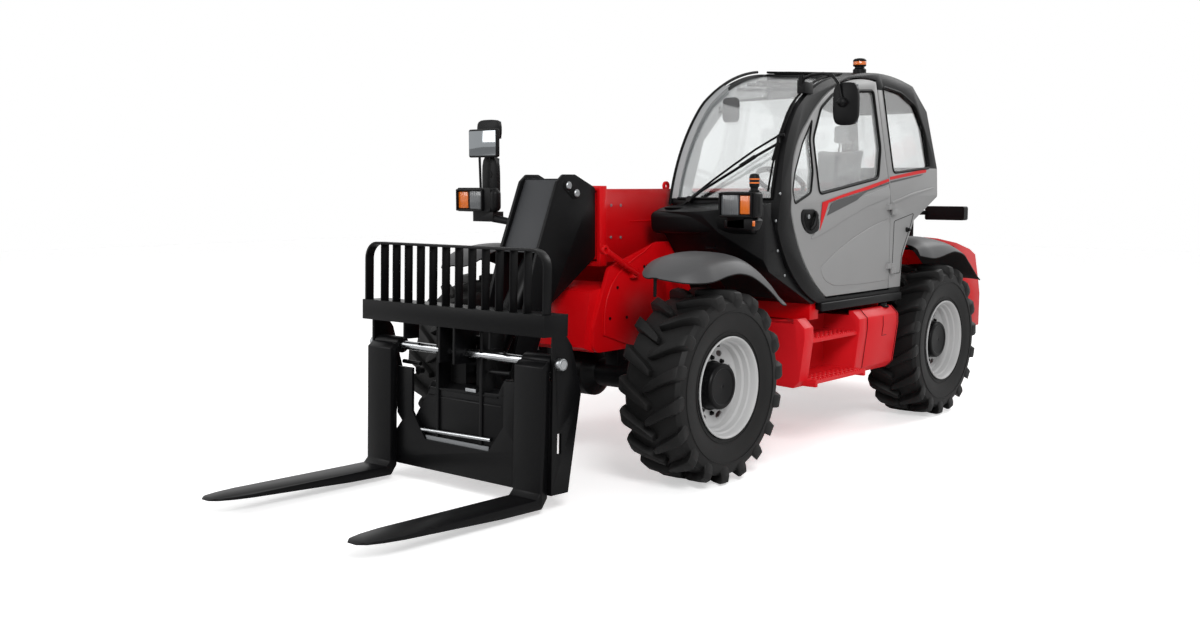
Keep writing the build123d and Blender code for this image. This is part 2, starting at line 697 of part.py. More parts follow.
def make_steering():
    floor = cab_floor_z + cab_wall
    x = 640
    column = side_plate([(1400, floor), (1560, floor), (1400, 1700), (1240, 1760)], x - 90, x + 90)
    post = bar((x, 1250, 1650), (x, 1395, 1890), 25)
    plane = Plane(origin=(x, 1400, 1900), z_dir=(0, 0.52, 0.85))
    wheel = plane * (Cylinder(190, 26) - Cylinder(162, 30))
    spoke = plane * Box(370, 30, 14)
    hub = plane * Cylinder(45, 40)
    console = block(cab_inner_x + cab_wall, cab_inner_x + cab_wall + 80, 1330, 2200, floor, 1560)
    return join([column, post, wheel, spoke, hub, console])


# ---- bodywork ----
def make_bodywork():
    nodes = {}
    side_x = frame_half_width
    # front cowl between the boom and the cab, under the windshield
    cowl = side_plate([(330, 1700), (400, 1560), (620, 1300), (1180, cab_floor_z), (1230, cab_floor_z),
                       (820, 1320), (640, 1660), (640, 1760)], side_x + 5, cab_outer_x - 20)
    plan = make_face(Polyline((side_x, 300), (700, 345), (1060, 560), (1060, 1300), (side_x, 1300),
                              close=True))
    cowl = cowl & extrude(plan, 3000)
    nodes["cowl"] = cowl - cab_solid(0)
    # tank and steps share one section, with a chamfered shoulder and a side that leans in below
    tank_section = make_face(Plane.XZ * Polyline(
        (side_x + 20, tank_bottom + 32), (tank_outer_x - 87, tank_bottom), (tank_outer_x - 40, tank_bottom + 49),
        (tank_outer_x, tank_top - 100), (tank_outer_x - 3, tank_top - 26), (tank_outer_x - 64, tank_shoulder),
        (tank_outer_x - 92, tank_shoulder), (tank_outer_x - 92, tank_top), (side_x + 20, tank_top), close=True))

    def along_tank(y0, y1):
        return extrude(Pos(0, y0, 0) * tank_section, y1 - y0, dir=(0, 1, 0))

    tank_seat = block(side_x, side_x + 20, steps_rear_y + 40, tank_rear_y - 60, tank_bottom + 60, tank_top - 60)
    nodes["fuel_tank"] = along_tank(steps_rear_y, tank_rear_y) + tank_seat
    y0 = steps_front_y + step_post
    y1 = steps_rear_y - step_post
    recess = block(tank_outer_x - 300, tank_outer_x + 60, y0, y1, tank_bottom + 57, tank_shoulder + 1)
    frame = along_tank(steps_front_y, steps_rear_y) - recess
    frame += block(side_x, side_x + 20, steps_front_y + 60, steps_rear_y - 60, tank_bottom + 60, tank_top - 60)
    for z, reach in ((tank_bottom + 30, 40), (tank_top - 140, -20)):
        frame += block(tank_outer_x - 301, tank_outer_x + reach, y0 - 0.5, y1 + 0.5, z, z + step_plate)
    for y in (y0 - 30, y1):
        frame += side_plate([(y, tank_bottom + 8), (y, tank_bottom + 57), (y + 30, tank_bottom + 57),
                             (y + 30, tank_bottom + 8)], tank_outer_x - 120, tank_outer_x + 40)
    nodes["steps"] = frame
    # engine on the right, under its hood
    nodes["engine_block"] = block(-frame_half_width - 60, -980, 960, engine_rear_y - 230, 625, 1180)
    lid_hinge_x = -frame_half_width - 50
    lid_hinge_z = 1440
    hood = side_plate([(820, 1180), (760, 1350), (860, 1460), (engine_rear_y - 130, 1460),
                       (engine_rear_y, 1380), (engine_rear_y, 1180)],
                      lid_hinge_x - 30, -1130)
    hood -= side_plate([(850, 1170), (800, 1340), (880, 1430), (engine_rear_y - 150, 1430),
                        (engine_rear_y - 30, 1360), (engine_rear_y - 30, 1170)],
                       lid_hinge_x - 55, -1105)
    hinge_x = -frame_half_width - 22
    hinge_z = 1430
    lid_hinges = (1000, engine_rear_y - 280)
    for y in lid_hinges:
        hood += bar((hinge_x, y, hinge_z), (hinge_x, y + 40, hinge_z), 18)
        hood += block(hinge_x, lid_hinge_x - 40, y, y + 40, hinge_z - 10, hinge_z + 18)
        hood -= bar((hinge_x, y - 1, hinge_z), (hinge_x, y + 41, hinge_z), 9 + running_gap)
    nodes["engine_hood"] = hood
    under = side_plate([(820, 600), (820, 1170), (engine_rear_y - 10, 1170), (engine_rear_y - 10, 1050),
                        (engine_rear_y - 120, 870), (engine_rear_y - 120, 600)],
                       -1130, -frame_half_width)
    under -= side_plate([(850, 625), (850, 1171), (engine_rear_y - 40, 1171), (engine_rear_y - 40, 1058),
                         (engine_rear_y - 150, 878), (engine_rear_y - 150, 625)],
                        -1105, -frame_half_width + 1)
    wall = block(-frame_half_width, -frame_half_width - 20, 860, engine_rear_y - 40, 1160, 1400)
    pins = [bar((hinge_x, y - 30, hinge_z), (hinge_x, y + 70, hinge_z), 9)
            for y in lid_hinges]
    ears = [block(-frame_half_width, hinge_x - 12, y + ear, y + ear + 29.7, 1380, hinge_z + 12)
            for y in lid_hinges for ear in (-30, 40.3)]
    nodes["engine_bay"] = join([under, wall] + ears + pins)
    # the rear body: a cast block low behind the wheels, under a hood that runs forward beside the boom
    rear_y = wheelbase + rear_overhang
    front_y = rear_y - 346
    block_side = side_outline([(front_y, 640), (front_y, 1290), (rear_y - 302, 1308), (rear_y - 182, 1255),
                               (rear_y - 95, 1015), (rear_y, 700), (rear_y - 50, 608), (rear_y - 200, 608)])
    half = rear_body_half_width
    counter = extrude(Pos(-half, 0, 0) * block_side, 2 * half, dir=(1, 0, 0))
    plan = make_face(Polyline((-half, front_y), (half, front_y), (half, rear_y - 60), (half - 130, rear_y),
                              (130 - half, rear_y), (-half, rear_y - 60), close=True))
    counter = counter & extrude(plan, 2000)
    hood = side_plate([(wheelbase + 154, 1444), (rear_y - 968, 1425), (rear_y - 589, 1374), (rear_y - 302, 1308),
                       (front_y, 1270), (rear_y - 600, 1340), (rear_y - 968, 1396), (wheelbase + 154, 1416)],
                      side_x + 10, half)
    arch = side_plate([(rear_y - 640, 1346), (rear_y - 589, 1374), (rear_y - 302, 1308), (front_y, 900)],
                      half - 30, half)
    shelf = block(-side_x + 35, side_x - 35, front_y - 50, front_y + 5, 900, 1100)
    nodes["counterweight"] = join([counter, both_sides(hood + arch), shelf])
    front_lip = [(-556, 1303), (-278, 1288), (-116, 1300), (0, 1322), (130, 1320), (313, 1265), (479, 1185)]
    rear_lip = [(-400, 1320), (-133, 1298), (0, 1322), (168, 1335), (327, 1305), (491, 1190)]
    nodes["front_fenders"] = both_sides(fender(0, (-700, 1395), (-240, 1470), (690, 1090), front_lip, 0))
    nodes["rear_fenders"] = both_sides(fender(wheelbase, (-485, 1445), (-180, 1455), (690, 1082), rear_lip, 100))
    return nodes


def fender(y, first, crown, last, lip, bracket_y):
    """A moulded guard over one wheel: its top follows an arc through three (y, z) points, and its
    outer skirt reaches down to the lip line. A bracket from the frame carries it."""
    thick = fender_wall
    x0 = fender_inner_x
    x1 = fender_outer_x
    arc = ThreePointArc(first, crown, last)
    centre = arc.arc_center
    radius = arc.radius
    top_round = 70
    skirt = 260
    sheet = [(x0, radius), (x1 - top_round, radius), (x1 - top_round * 0.3, radius - top_round * 0.3),
             (x1, radius - top_round), (x1, radius - skirt), (x1 - thick, radius - skirt),
             (x1 - thick, radius - top_round), (x1 - top_round * 0.3 - thick * 0.7,
                                                radius - top_round * 0.3 - thick * 0.7),
             (x1 - top_round, radius - thick), (x0, radius - thick)]
    dome = ring(sheet, 0, centre.X, centre.Y)
    side = make_face(Plane.YZ * Polyline(*lip, last, (last[0] + 30, last[1] + 30), (last[0], 1700),
                                         (first[0], 1700), first, (first[0], first[1] - 60), close=True))
    dome = dome & extrude(Pos(x0 - 10, 0, 0) * side, x1 - x0 + 20, dir=(1, 0, 0))
    corner = 130
    plan = make_face(Polyline((x0, first[0]), (x1 - corner, first[0]), (x1 - corner * 0.3, first[0] + corner * 0.3),
                              (x1, first[0] + corner), (x1, last[0] + 40), (x0, last[0] + 40), close=True))
    dome = dome & extrude(plan, 3000)
    top = centre.Y + math.sqrt((radius - thick) ** 2 - (bracket_y - centre.X) ** 2)
    bracket = block(frame_half_width, x0 + 20, bracket_y - 30, bracket_y + 30, top - 70, top - 40)
    riser = block(x0 - 20, x0 + 20, bracket_y - 30, bracket_y + 30, top - 70, top + 5)
    return Pos(0, y, 0) * join([dome, bracket, riser])


def lamp_box(x0, x1, y0, y1, z0, z1):
    box = block(x0, x1, y0, y1, z0, z1)
    return fillet(box.edges().filter_by(Axis.Y), 18)


def make_trim():
    nodes = {}
    # headlamps: the left one stands on the cowl, the right one on a cranked arm from the frame
    left = lamp_box(880, 1160, 280, 360, 1668, 1832)
    left_foot = block(930, 1060, 300, 345, 1600, 1668) + block(930, 1000, 330, 520, 1600, 1640)
    right = lamp_box(-1045, -710, -230, -150, 1690, 1858)
    arm = [(-frame_half_width - 45, -60, 1180), (-430, -60, 1500), (-560, -170, 1620), (-720, -190, 1640)]
    pieces = [left, left_foot, right, block(-900, -700, -215, -110, 1620, 1690),
              block(-frame_half_width, -frame_half_width - 50, -100, -20, 1140, 1220)]
    for start, end in zip(arm, arm[1:]):
        pieces.append(bar(start, end, 24))
        pieces.append(Pos(*end) * Sphere(24))
    rear_y = wheelbase + rear_overhang
    tail = [lamp_box(x0, x0 + 110, rear_y - 130, rear_y - 12, 800, 1060) for x0 in (-720, 610)]
    nodes["lamps"] = join(pieces + tail)
    # mirrors
    right_post = bar((-800, -130, 1690), (-800, -130, 2300), 14)
    tall = block(-880, -740, -150, -115, 1880, 2160)
    wide = block(-930, -720, -150, -105, 2185, 2330)
    left_mirror = lamp_box(mirror_outer_x - 190, mirror_outer_x, 1070, 1115, 2275, 2560)
    bracket = block(880, 965, 1180, 1290, 2520, 2584)
    link = bar((930, 1200, 2590), (1270, 1070, 2590), 12) + bar((1270, 1070, 2590),
                                                               (1310, 1085, 2430), 12)
    ball = Pos(mirror_outer_x - 108, 1065, 2430) * Sphere(32)
    nodes["mirrors"] = join([right_post, tall, wide, left_mirror, bracket, link, ball]) - cab_solid(0)
    nodes["beacon"] = Pos(860, 2150, 2740) * Cylinder(55, 90) + Pos(860, 2150, 2800) * Cylinder(45, 60)
    nodes["beacon"] -= cab_solid(0)
    box_y = rear_y - 206
    arm_y = rear_y - 420
    nodes["rear_box"] = join([lamp_box(434, 812, box_y - 40, box_y + 40, 1560, 1685),
                              bar((450, box_y, 1625), (385, arm_y, 1625), 20),
                              bar((385, arm_y, 1300), (385, arm_y, 1645), 22)])
    return nodes


def build():
    nodes = {}
    nodes.update(make_chassis())
    tyre = make_tyre()
    nodes["front_axle"] = make_axle(0, 1)
    nodes["rear_axle"] = make_axle(wheelbase, -1)
    for name, side, y in (("fl", 1, 0), ("fr", -1, 0), ("rl", 1, wheelbase), ("rr", -1, wheelbase)):
        nodes["knuckle_" + name] = make_knuckle(side, y)
        nodes["rim_" + name] = make_rim(side, y)
        nodes["tyre_" + name] = Pos(side * half_track, y, axle_height) * tyre
    nodes.update(make_boom_outer())
    nodes.update(make_boom_inner())
    nodes.update(make_boom_head())
    barrel, rod = make_cylinder((lift_base_y, lift_base_z), (lift_eye_y, lift_eye_z),
                                lift_barrel_radius, lift_rod_radius, 90, 32, 115, 25)
    nodes["lift_barrel"] = barrel
    nodes["lift_rod"] = rod
    barrel, rod = make_cylinder((head_pin_y, head_pin_z), (tilt_eye_y, tilt_eye_z),
                                tilt_barrel_radius, tilt_rod_radius, 80, 30, 150, 80)
    nodes["tilt_barrel"] = barrel
    nodes["tilt_rod"] = rod
    carried = {}
    carried.update(make_tool_carrier())
    carried.update(make_carriage())
    carried.update(make_guard())
    upper = cross_bar(-carriage_half_width - 20, carriage_half_width + 40, shaft_y, shaft_z, shaft_radius)
    carried["fork_shaft"] = upper
    carried["fork_left"] = make_fork(1)
    carried["fork_right"] = make_fork(-1)
    for name, shape in carried.items():
        nodes[name] = tip_back(shape)
    nodes.update(make_cab())
    nodes.update(make_bodywork())
    nodes.update(make_trim())
    nodes["lamps"] = nodes["lamps"] - nodes["cowl"] - nodes["counterweight"]
    nodes["rear_box"] = nodes["rear_box"] - nodes["counterweight"]
    return nodes


os.makedirs("parts", exist_ok=True)
for node, shape in build().items():
    placed = Pos(centre_plane_x, front_axle_y, 0) * shape
    export_step(placed, "parts/" + node + ".step")
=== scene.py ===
import math
import bmesh
import bpy
from mathutils import Matrix, Vector


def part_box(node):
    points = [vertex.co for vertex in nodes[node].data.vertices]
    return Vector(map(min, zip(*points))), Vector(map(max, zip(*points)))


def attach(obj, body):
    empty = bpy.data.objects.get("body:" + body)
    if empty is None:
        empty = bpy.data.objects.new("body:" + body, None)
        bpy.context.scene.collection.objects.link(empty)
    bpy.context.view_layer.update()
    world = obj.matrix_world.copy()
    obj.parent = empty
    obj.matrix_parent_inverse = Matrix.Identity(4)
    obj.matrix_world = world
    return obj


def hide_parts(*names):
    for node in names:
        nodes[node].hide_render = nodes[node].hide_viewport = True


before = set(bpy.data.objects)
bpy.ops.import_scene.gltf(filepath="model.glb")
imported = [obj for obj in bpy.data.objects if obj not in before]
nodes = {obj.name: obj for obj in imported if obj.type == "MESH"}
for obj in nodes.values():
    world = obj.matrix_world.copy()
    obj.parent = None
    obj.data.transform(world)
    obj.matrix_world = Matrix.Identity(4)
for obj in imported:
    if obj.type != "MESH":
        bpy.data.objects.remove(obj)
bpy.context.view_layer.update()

# Places are written in millimetres from the point on the ground under the middle of the front
# axle, as on the machine's own drawing: X to the cab side, Y to the rear, Z up.
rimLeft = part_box("rim_fl")
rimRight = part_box("rim_fr")
originX = (rimLeft[0][0] + rimLeft[1][0] + rimRight[0][0] + rimRight[1][0]) / 4
originY = (rimLeft[0][1] + rimLeft[1][1]) / 2


def at(x, y, z):
    return Vector((x / 1000 + originX, y / 1000 + originY, z / 1000))


# camera, light and floor
cameraView = {"place": (5439.1, -6304.9, 1876.1), "yaw": 40.24, "pitch": 6.06, "roll": 0.0, "lens": 36.70}


def placeCamera(settings):
    bpy.ops.object.camera_add(location=at(*settings["place"]))
    camera = bpy.context.object
    camera.name = "camera"
    camera.rotation_euler = (math.radians(90 - settings["pitch"]), math.radians(settings["roll"]),
                             math.radians(settings["yaw"]))
    camera.data.sensor_width = 36
    camera.data.lens = settings["lens"]
    camera.data.clip_end = 200
    bpy.context.scene.camera = camera
    bpy.context.scene.view_settings.view_transform = "Standard"


def hexColour(code):
    channels = [int(code[i:i + 2], 16) / 255 for i in (1, 3, 5)]
    linear = [c / 12.92 if c <= 0.04045 else ((c + 0.055) / 1.055) ** 2.4 for c in channels]
    return (*linear, 1.0)


def addNode(material, kind, settings=None, links=None):
    node = material.node_tree.nodes.new(kind)
    for key, value in (settings or {}).items():
        if isinstance(key, str) and hasattr(node, key):
            setattr(node, key, value)
        else:
            node.inputs[key].default_value = value
    for key, source in (links or {}).items():
        material.node_tree.links.new(source, node.inputs[key])
    return node


def startMaterial(name, **shaderSettings):
    material = bpy.data.materials.new(name)
    material.use_nodes = True
    shader = material.node_tree.nodes["Principled BSDF"]
    for key, value in shaderSettings.items():
        shader.inputs[key.replace("_", " ")].default_value = value
    return material, shader


def objectPlace(material, scale=(1, 1, 1)):
    coordinates = addNode(material, "ShaderNodeTexCoord")
    mapping = addNode(material, "ShaderNodeMapping", {"Scale": scale},
                      {"Vector": coordinates.outputs["Object"]})
    return mapping.outputs["Vector"]


studio = {"worldLevel": 0.42, "keyPower": 620, "fillPower": 220, "backPower": 330, "floorColour": "#f6f6f6",
          "floorSize": 60}


def makeStudio(settings):
    world = bpy.data.worlds.new("studioWorld")
    bpy.context.scene.world = world
    world.use_nodes = True
    world.node_tree.nodes.clear()
    rays = addNode(world, "ShaderNodeLightPath")
    seen = addNode(world, "ShaderNodeMath", {"operation": "MAXIMUM"},
                   {0: rays.outputs["Is Camera Ray"], 1: rays.outputs["Is Glossy Ray"]})
    seenAll = addNode(world, "ShaderNodeMath", {"operation": "MAXIMUM"},
                      {0: seen.outputs[0], 1: rays.outputs["Is Transmission Ray"]})
    level = addNode(world, "ShaderNodeMapRange", {3: settings["worldLevel"], 4: 1.0}, {0: seenAll.outputs[0]})
    background = addNode(world, "ShaderNodeBackground", {"Color": (1, 1, 1, 1)},
                         {"Strength": level.outputs[0]})
    addNode(world, "ShaderNodeOutputWorld", links={"Surface": background.outputs[0]})
    lights = (("key", (7000, -5200, 6500), 3.2, "keyPower"), ("fill", (-4500, -6500, 4500), 4.0, "fillPower"),
              ("back", (2500, 8500, 6500), 4.0, "backPower"))
    middle = at(0, 1000, 900)
    for name, place, size, power in lights:
        bpy.ops.object.light_add(type="AREA", location=at(*place))
        lamp = bpy.context.object
        lamp.name = name
        lamp.data.size = size
        lamp.data.energy = settings[power]
        lamp.rotation_euler = (middle - at(*place)).to_track_quat("-Z", "Y").to_euler()
    bpy.ops.mesh.primitive_plane_add(size=settings["floorSize"], location=(0, 0, -0.002))
    floor = bpy.context.object
    floor.name = "floor"
    material, shader = startMaterial("paintedStudioFloor", Base_Color=hexColour(settings["floorColour"]),
                                     Roughness=0.6)
    # The floor shows white to the eye but still darkens where the machine keeps light from it.
    paths = addNode(material, "ShaderNodeLightPath")
    glow = addNode(material, "ShaderNodeEmission", {"Color": (1, 1, 1, 1), "Strength": 0.5})
    both = addNode(material, "ShaderNodeAddShader", links={0: shader.outputs[0], 1: glow.outputs[0]})
    pick = addNode(material, "ShaderNodeMixShader",
                   links={0: paths.outputs["Is Camera Ray"], 1: shader.outputs[0], 2: both.outputs[0]})
    material.node_tree.links.new(pick.outputs[0], material.node_tree.nodes["Material Output"].inputs[0])
    floor.data.materials.append(material)


# finishes
def finishSurface(material, shader, colour, other, share, fineScale, fineStrength, broadScale=1.6,
                  distance=0.002):
    # A broad drift between two near colours, and a fine grain that only tilts the light.
    place = objectPlace(material)
    broad = addNode(material, "ShaderNodeTexNoise", {"Scale": broadScale, "Detail": 4.0}, {"Vector": place})
    level = addNode(material, "ShaderNodeMapRange", {1: 0.35, 2: 0.75, 3: 0.0, 4: share},
                    {0: broad.outputs["Fac"]})
    mixed = addNode(material, "ShaderNodeMix",
                    {"data_type": "RGBA", 6: hexColour(colour), 7: hexColour(other)}, {0: level.outputs[0]})
    material.node_tree.links.new(mixed.outputs[2], shader.inputs["Base Color"])
    fine = addNode(material, "ShaderNodeTexNoise", {"Scale": fineScale, "Detail": 2.0}, {"Vector": place})
    bump = addNode(material, "ShaderNodeBump", {"Strength": fineStrength, "Distance": distance},
                   {"Height": fine.outputs["Fac"]})
    material.node_tree.links.new(bump.outputs[0], shader.inputs["Normal"])
    return material


def coatedSteel(name, colour, roughness, other, shine=0.15, share=0.5):
    # Powder coat on welded plate: an orange peel of about 4 mm, drawn a little coarser to show.
    material, shader = startMaterial(name, Roughness=roughness, Specular_IOR_Level=shine)
    return finishSurface(material, shader, colour, other, share, 160, 0.06)


def mouldedPlastic(name, colour, roughness, other, shine=0.2):
    # Rotation or injection moulded PE and ABS: a pebble grain near 1.5 mm, drawn at 4 mm.
    material, shader = startMaterial(name, Roughness=roughness, Specular_IOR_Level=shine)
    return finishSurface(material, shader, colour, other, 0.6, 260, 0.16)


def tyreRubber(name, colour, other):
    # Vulcanised rubber from a steel mould: almost black, greyer where it has scuffed.
    material, shader = startMaterial(name, Roughness=0.55, Specular_IOR_Level=0.18)
    return finishSurface(material, shader, colour, other, 0.7, 90, 0.12, 6.0)


def clearGlass(name, veil=0.2):
    # Tempered safety glass, 6 mm: almost colourless, with a pale sky reflection; it lets light through.
    material, shader = startMaterial(name, Base_Color=(0.93, 0.95, 0.95, 1), Roughness=0.02,
                                     Transmission_Weight=1.0, IOR=1.1)
    paths = addNode(material, "ShaderNodeLightPath")
    through = addNode(material, "ShaderNodeBsdfTransparent", {"Color": (0.97, 0.98, 0.98, 1)})
    sky = addNode(material, "ShaderNodeBsdfGlossy", {"Color": (1, 1, 1, 1), "Roughness": 0.05})
    pane = addNode(material, "ShaderNodeMixShader", {0: veil}, {1: through.outputs[0], 2: sky.outputs[0]})
    body = addNode(material, "ShaderNodeMixShader", {0: 0.9}, {1: shader.outputs[0], 2: pane.outputs[0]})
    pick = addNode(material, "ShaderNodeMixShader",
                   links={0: paths.outputs["Is Shadow Ray"], 1: body.outputs[0], 2: through.outputs[0]})
    material.node_tree.links.new(pick.outputs[0], material.node_tree.nodes["Material Output"].inputs[0])
    return material


def lampLens(name, colour, transmission=0.35):
    # Injection moulded PMMA with vertical flutes every 9 mm that spread the beam.
    material, shader = startMaterial(name, Base_Color=hexColour(colour), Roughness=0.12,
                                     Transmission_Weight=transmission, Coat_Weight=0.4)
    flutes = addNode(material, "ShaderNodeTexWave", {"Scale": 18.0, "bands_direction": "X"},
                     {"Vector": objectPlace(material)})
    bump = addNode(material, "ShaderNodeBump", {"Strength": 0.35, "Distance": 0.003},
                   {"Height": flutes.outputs["Fac"]})
    material.node_tree.links.new(bump.outputs[0], shader.inputs["Normal"])
    return material


def groundMetal(name, colour, roughness, stretch):
    # Ground and plated steel: fine marks run round or along the piece.
    material, shader = startMaterial(name, Base_Color=hexColour(colour), Metallic=1.0)
    place = objectPlace(material, stretch)
    marks = addNode(material, "ShaderNodeTexNoise", {"Scale": 40.0, "Detail": 3.0}, {"Vector": place})
    rough = addNode(material, "ShaderNodeMapRange", {3: roughness * 0.7, 4: roughness * 1.4},
                    {0: marks.outputs["Fac"]})
    material.node_tree.links.new(rough.outputs[0], shader.inputs["Roughness"])
    return material


def wovenFabric(name, colour, other):
    # Woven polyester upholstery, threads 2 mm apart, drawn at 6 mm.
    material, shader = startMaterial(name, Roughness=0.85, Sheen_Weight=0.3)
    place = objectPlace(material)
    warp = addNode(material, "ShaderNodeTexWave", {"Scale": 26.0, "bands_direction": "X"}, {"Vector": place})
    weft = addNode(material, "ShaderNodeTexWave", {"Scale": 26.0, "bands_direction": "Z"}, {"Vector": place})
    weave = addNode(material, "ShaderNodeMath", {"operation": "MULTIPLY"},
                    {0: warp.outputs["Fac"], 1: weft.outputs["Fac"]})
    mixed = addNode(material, "ShaderNodeMix",
                    {"data_type": "RGBA", 6: hexColour(colour), 7: hexColour(other)}, {0: weave.outputs[0]})
    material.node_tree.links.new(mixed.outputs[2], shader.inputs["Base Color"])
    bump = addNode(material, "ShaderNodeBump", {"Strength": 0.3, "Distance": 0.002},
                   {"Height": weave.outputs[0]})
    material.node_tree.links.new(bump.outputs[0], shader.inputs["Normal"])
    return material


finishes = {
    "red": coatedSteel("redPowderCoat", "#c8070f", 0.34, "#b0050b"),
    "stepRed": coatedSteel("redStepCoat", "#cf1a22", 0.42, "#bf1019"),
    "black": coatedSteel("blackPowderCoat", "#080809", 0.36, "#0c0c0d", 0.1),
    # the black coat painted lighter: a painted sky reflection on the boom head's face plate
    "paintedReflectionGrey": coatedSteel("blackCoatPaintedReflection", "#3b3c3e", 0.5, "#323335"),
    "grey": coatedSteel("greyDoorCoat", "#8c8c8c", 0.42, "#858585"),
    "silver": coatedSteel("silverRimPaint", "#b4b4b4", 0.36, "#a8a8a8"),
    "iron": coatedSteel("castIronPaint", "#2a2a2b", 0.55, "#353535"),
    "dark": mouldedPlastic("darkMouldedPlastic", "#0b0b0c", 0.42, "#101011", 0.12),
    "trim": mouldedPlastic("lightCabTrim", "#9a9b9c", 0.6, "#8f9091"),
    "fender": mouldedPlastic("greyMouldedPlastic", "#4c4c4d", 0.46, "#434344"),
    "seal": mouldedPlastic("extrudedRubberSeal", "#090909", 0.6, "#0f0f0f", 0.1),
    "tyre": tyreRubber("tyreRubber", "#0f0f0f", "#171616"),
    "glass": clearGlass("clearSafetyGlass"),
    "amber": lampLens("amberLens", "#e2701c", 0.2),
    "lens": lampLens("clearLampLens", "#5c5e60", 0.1),
    "tailLens": lampLens("redTailLens", "#b3121a", 0.2),
    "chrome": groundMetal("hardChromeRod", "#a9abad", 0.2, (1, 1, 1)),
    "mirror": groundMetal("silveredMirror", "#8d9194", 0.06, (1, 1, 1)),
    "strip": coatedSteel("bareSteelEdge", "#77797b", 0.5, "#6a6c6e"),
    "zinc": groundMetal("zincPlatedSteel", "#9a9c9e", 0.36, (1, 1, 1)),
    "fabric": wovenFabric("wovenSeatFabric", "#3a3a3c", "#4a4a4c"),
}

# the slot each finish takes; lenses and mirrors have none
slotOf = {
    "red": "red_paint", "stepRed": "red_paint", "black": "black_paint", "paintedReflectionGrey": "black_paint",
    "grey": "grey_panel", "silver": "rim_silver", "iron": "steel", "strip": "steel", "zinc": "steel",
    "dark": "dark_plastic", "trim": "dark_plastic", "fender": "dark_plastic", "seal": "dark_plastic",
    "tyre": "tyre_rubber", "glass": "clear_glass", "chrome": "chromed_rod", "fabric": "seat_fabric",
}

nodeFinish = {
    "red": ("chassis_frame", "boom_outer", "boom_inner", "fuel_tank", "engine_hood", "engine_bay",
            "counterweight"),
    "stepRed": ("steps",),
    "black": ("boom_head", "tool_carrier", "carriage_frame", "backrest_guard", "fork_left", "fork_right",
              "front_axle", "rear_axle", "knuckle_fl", "knuckle_fr", "knuckle_rl", "knuckle_rr",
              "lift_barrel", "tilt_barrel"),
    "iron": ("engine_block",),
    "grey": ("door", "cab_panel"),
    "silver": ("rim_fl", "rim_fr", "rim_rl", "rim_rr"),
    "dark": ("cab_frame", "cowl", "steering_column", "lamps", "mirrors", "beacon", "rear_box"),
    "fender": ("front_fenders", "rear_fenders"),
    "tyre": ("tyre_fl", "tyre_fr", "tyre_rl", "tyre_rr"),
    "glass": ("cab_glass", "door_glass"),
    "chrome": ("lift_rod", "tilt_rod", "fork_shaft"),
    "fabric": ("seat",),
}


def dressNodes():
    for finish, names in nodeFinish.items():
        for name in names:
            mesh = nodes[name].data
            mesh.materials.clear()
            mesh.materials.append(finishes[finish])


# modelling steps that every piece shares
def deselectAll():
    if bpy.context.mode != "OBJECT":
        bpy.ops.object.mode_set(mode="OBJECT")
    bpy.ops.object.select_all(action="DESELECT")


def activate(piece):
    deselectAll()
    piece.select_set(True)
    bpy.context.view_layer.objects.active = piece


def applyModifier(piece, kind, **settings):
    activate(piece)
    modifier = piece.modifiers.new(kind.lower(), kind)
    for key, value in settings.items():
        setattr(modifier, key, value)
    bpy.ops.object.modifier_apply(modifier=modifier.name)


def joinPieces(pieces):
    activate(pieces[0])
    for piece in pieces[1:]:
        piece.select_set(True)
    if len(pieces) > 1:
        bpy.ops.object.join()
    return bpy.context.object


def copyPiece(piece, matrix):
    twin = piece.copy()
    twin.data = piece.data.copy()
    twin.data.transform(matrix)
    if matrix.determinant() < 0:
        twin.data.flip_normals()
    bpy.context.scene.collection.objects.link(twin)
    return twin


def turnAbout(centre, axis, degrees):
    return Matrix.Translation(centre) @ Matrix.Rotation(math.radians(degrees), 4, axis) @ Matrix.Translation(
        -centre)


def mirrorAcross(x=0.0):
    flip = Matrix.Scale(-1, 4, Vector((1, 0, 0)))
    middle = Matrix.Translation(at(x, 0, 0) - at(0, 0, 0) + Vector((originX, 0, 0)))
    return middle @ flip @ middle.inverted()


def otherSide(piece):
    twin = copyPiece(piece, mirrorAcross(0))
    bpy.data.objects.remove(piece)
    return twin


def finishPiece(piece, name, finish, body="chassis", bevel=0, segments=2, smooth=35, replaces=(), slot=None):
    # A rounded edge catches the light as a ground or pressed edge does; a list of pieces is joined first.
    if isinstance(piece, list):
        piece = joinPieces(piece)
    if bevel:
        applyModifier(piece, "BEVEL", width=bevel / 1000, segments=segments, limit_method="ANGLE",
                      angle_limit=math.radians(32), use_clamp_overlap=True)
    activate(piece)
    bpy.ops.object.shade_smooth_by_angle(angle=math.radians(smooth))
    piece.name = name
    piece.data.name = name
    piece.data.materials.clear()
    piece.data.materials.append(finishes[finish])
    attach(piece, body)
    slot = slot or slotOf.get(finish)
    if replaces:
        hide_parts(*replaces)
    return piece


def boxPiece(x0, x1, y0, y1, z0, z1):
    deselectAll()
    bpy.ops.mesh.primitive_cube_add(size=1, location=at((x0 + x1) / 2, (y0 + y1) / 2, (z0 + z1) / 2),
                                    scale=(abs(x1 - x0) / 1000, abs(y1 - y0) / 1000, abs(z1 - z0) / 1000))
    bpy.ops.object.transform_apply(location=True, rotation=True, scale=True)
    return bpy.context.object


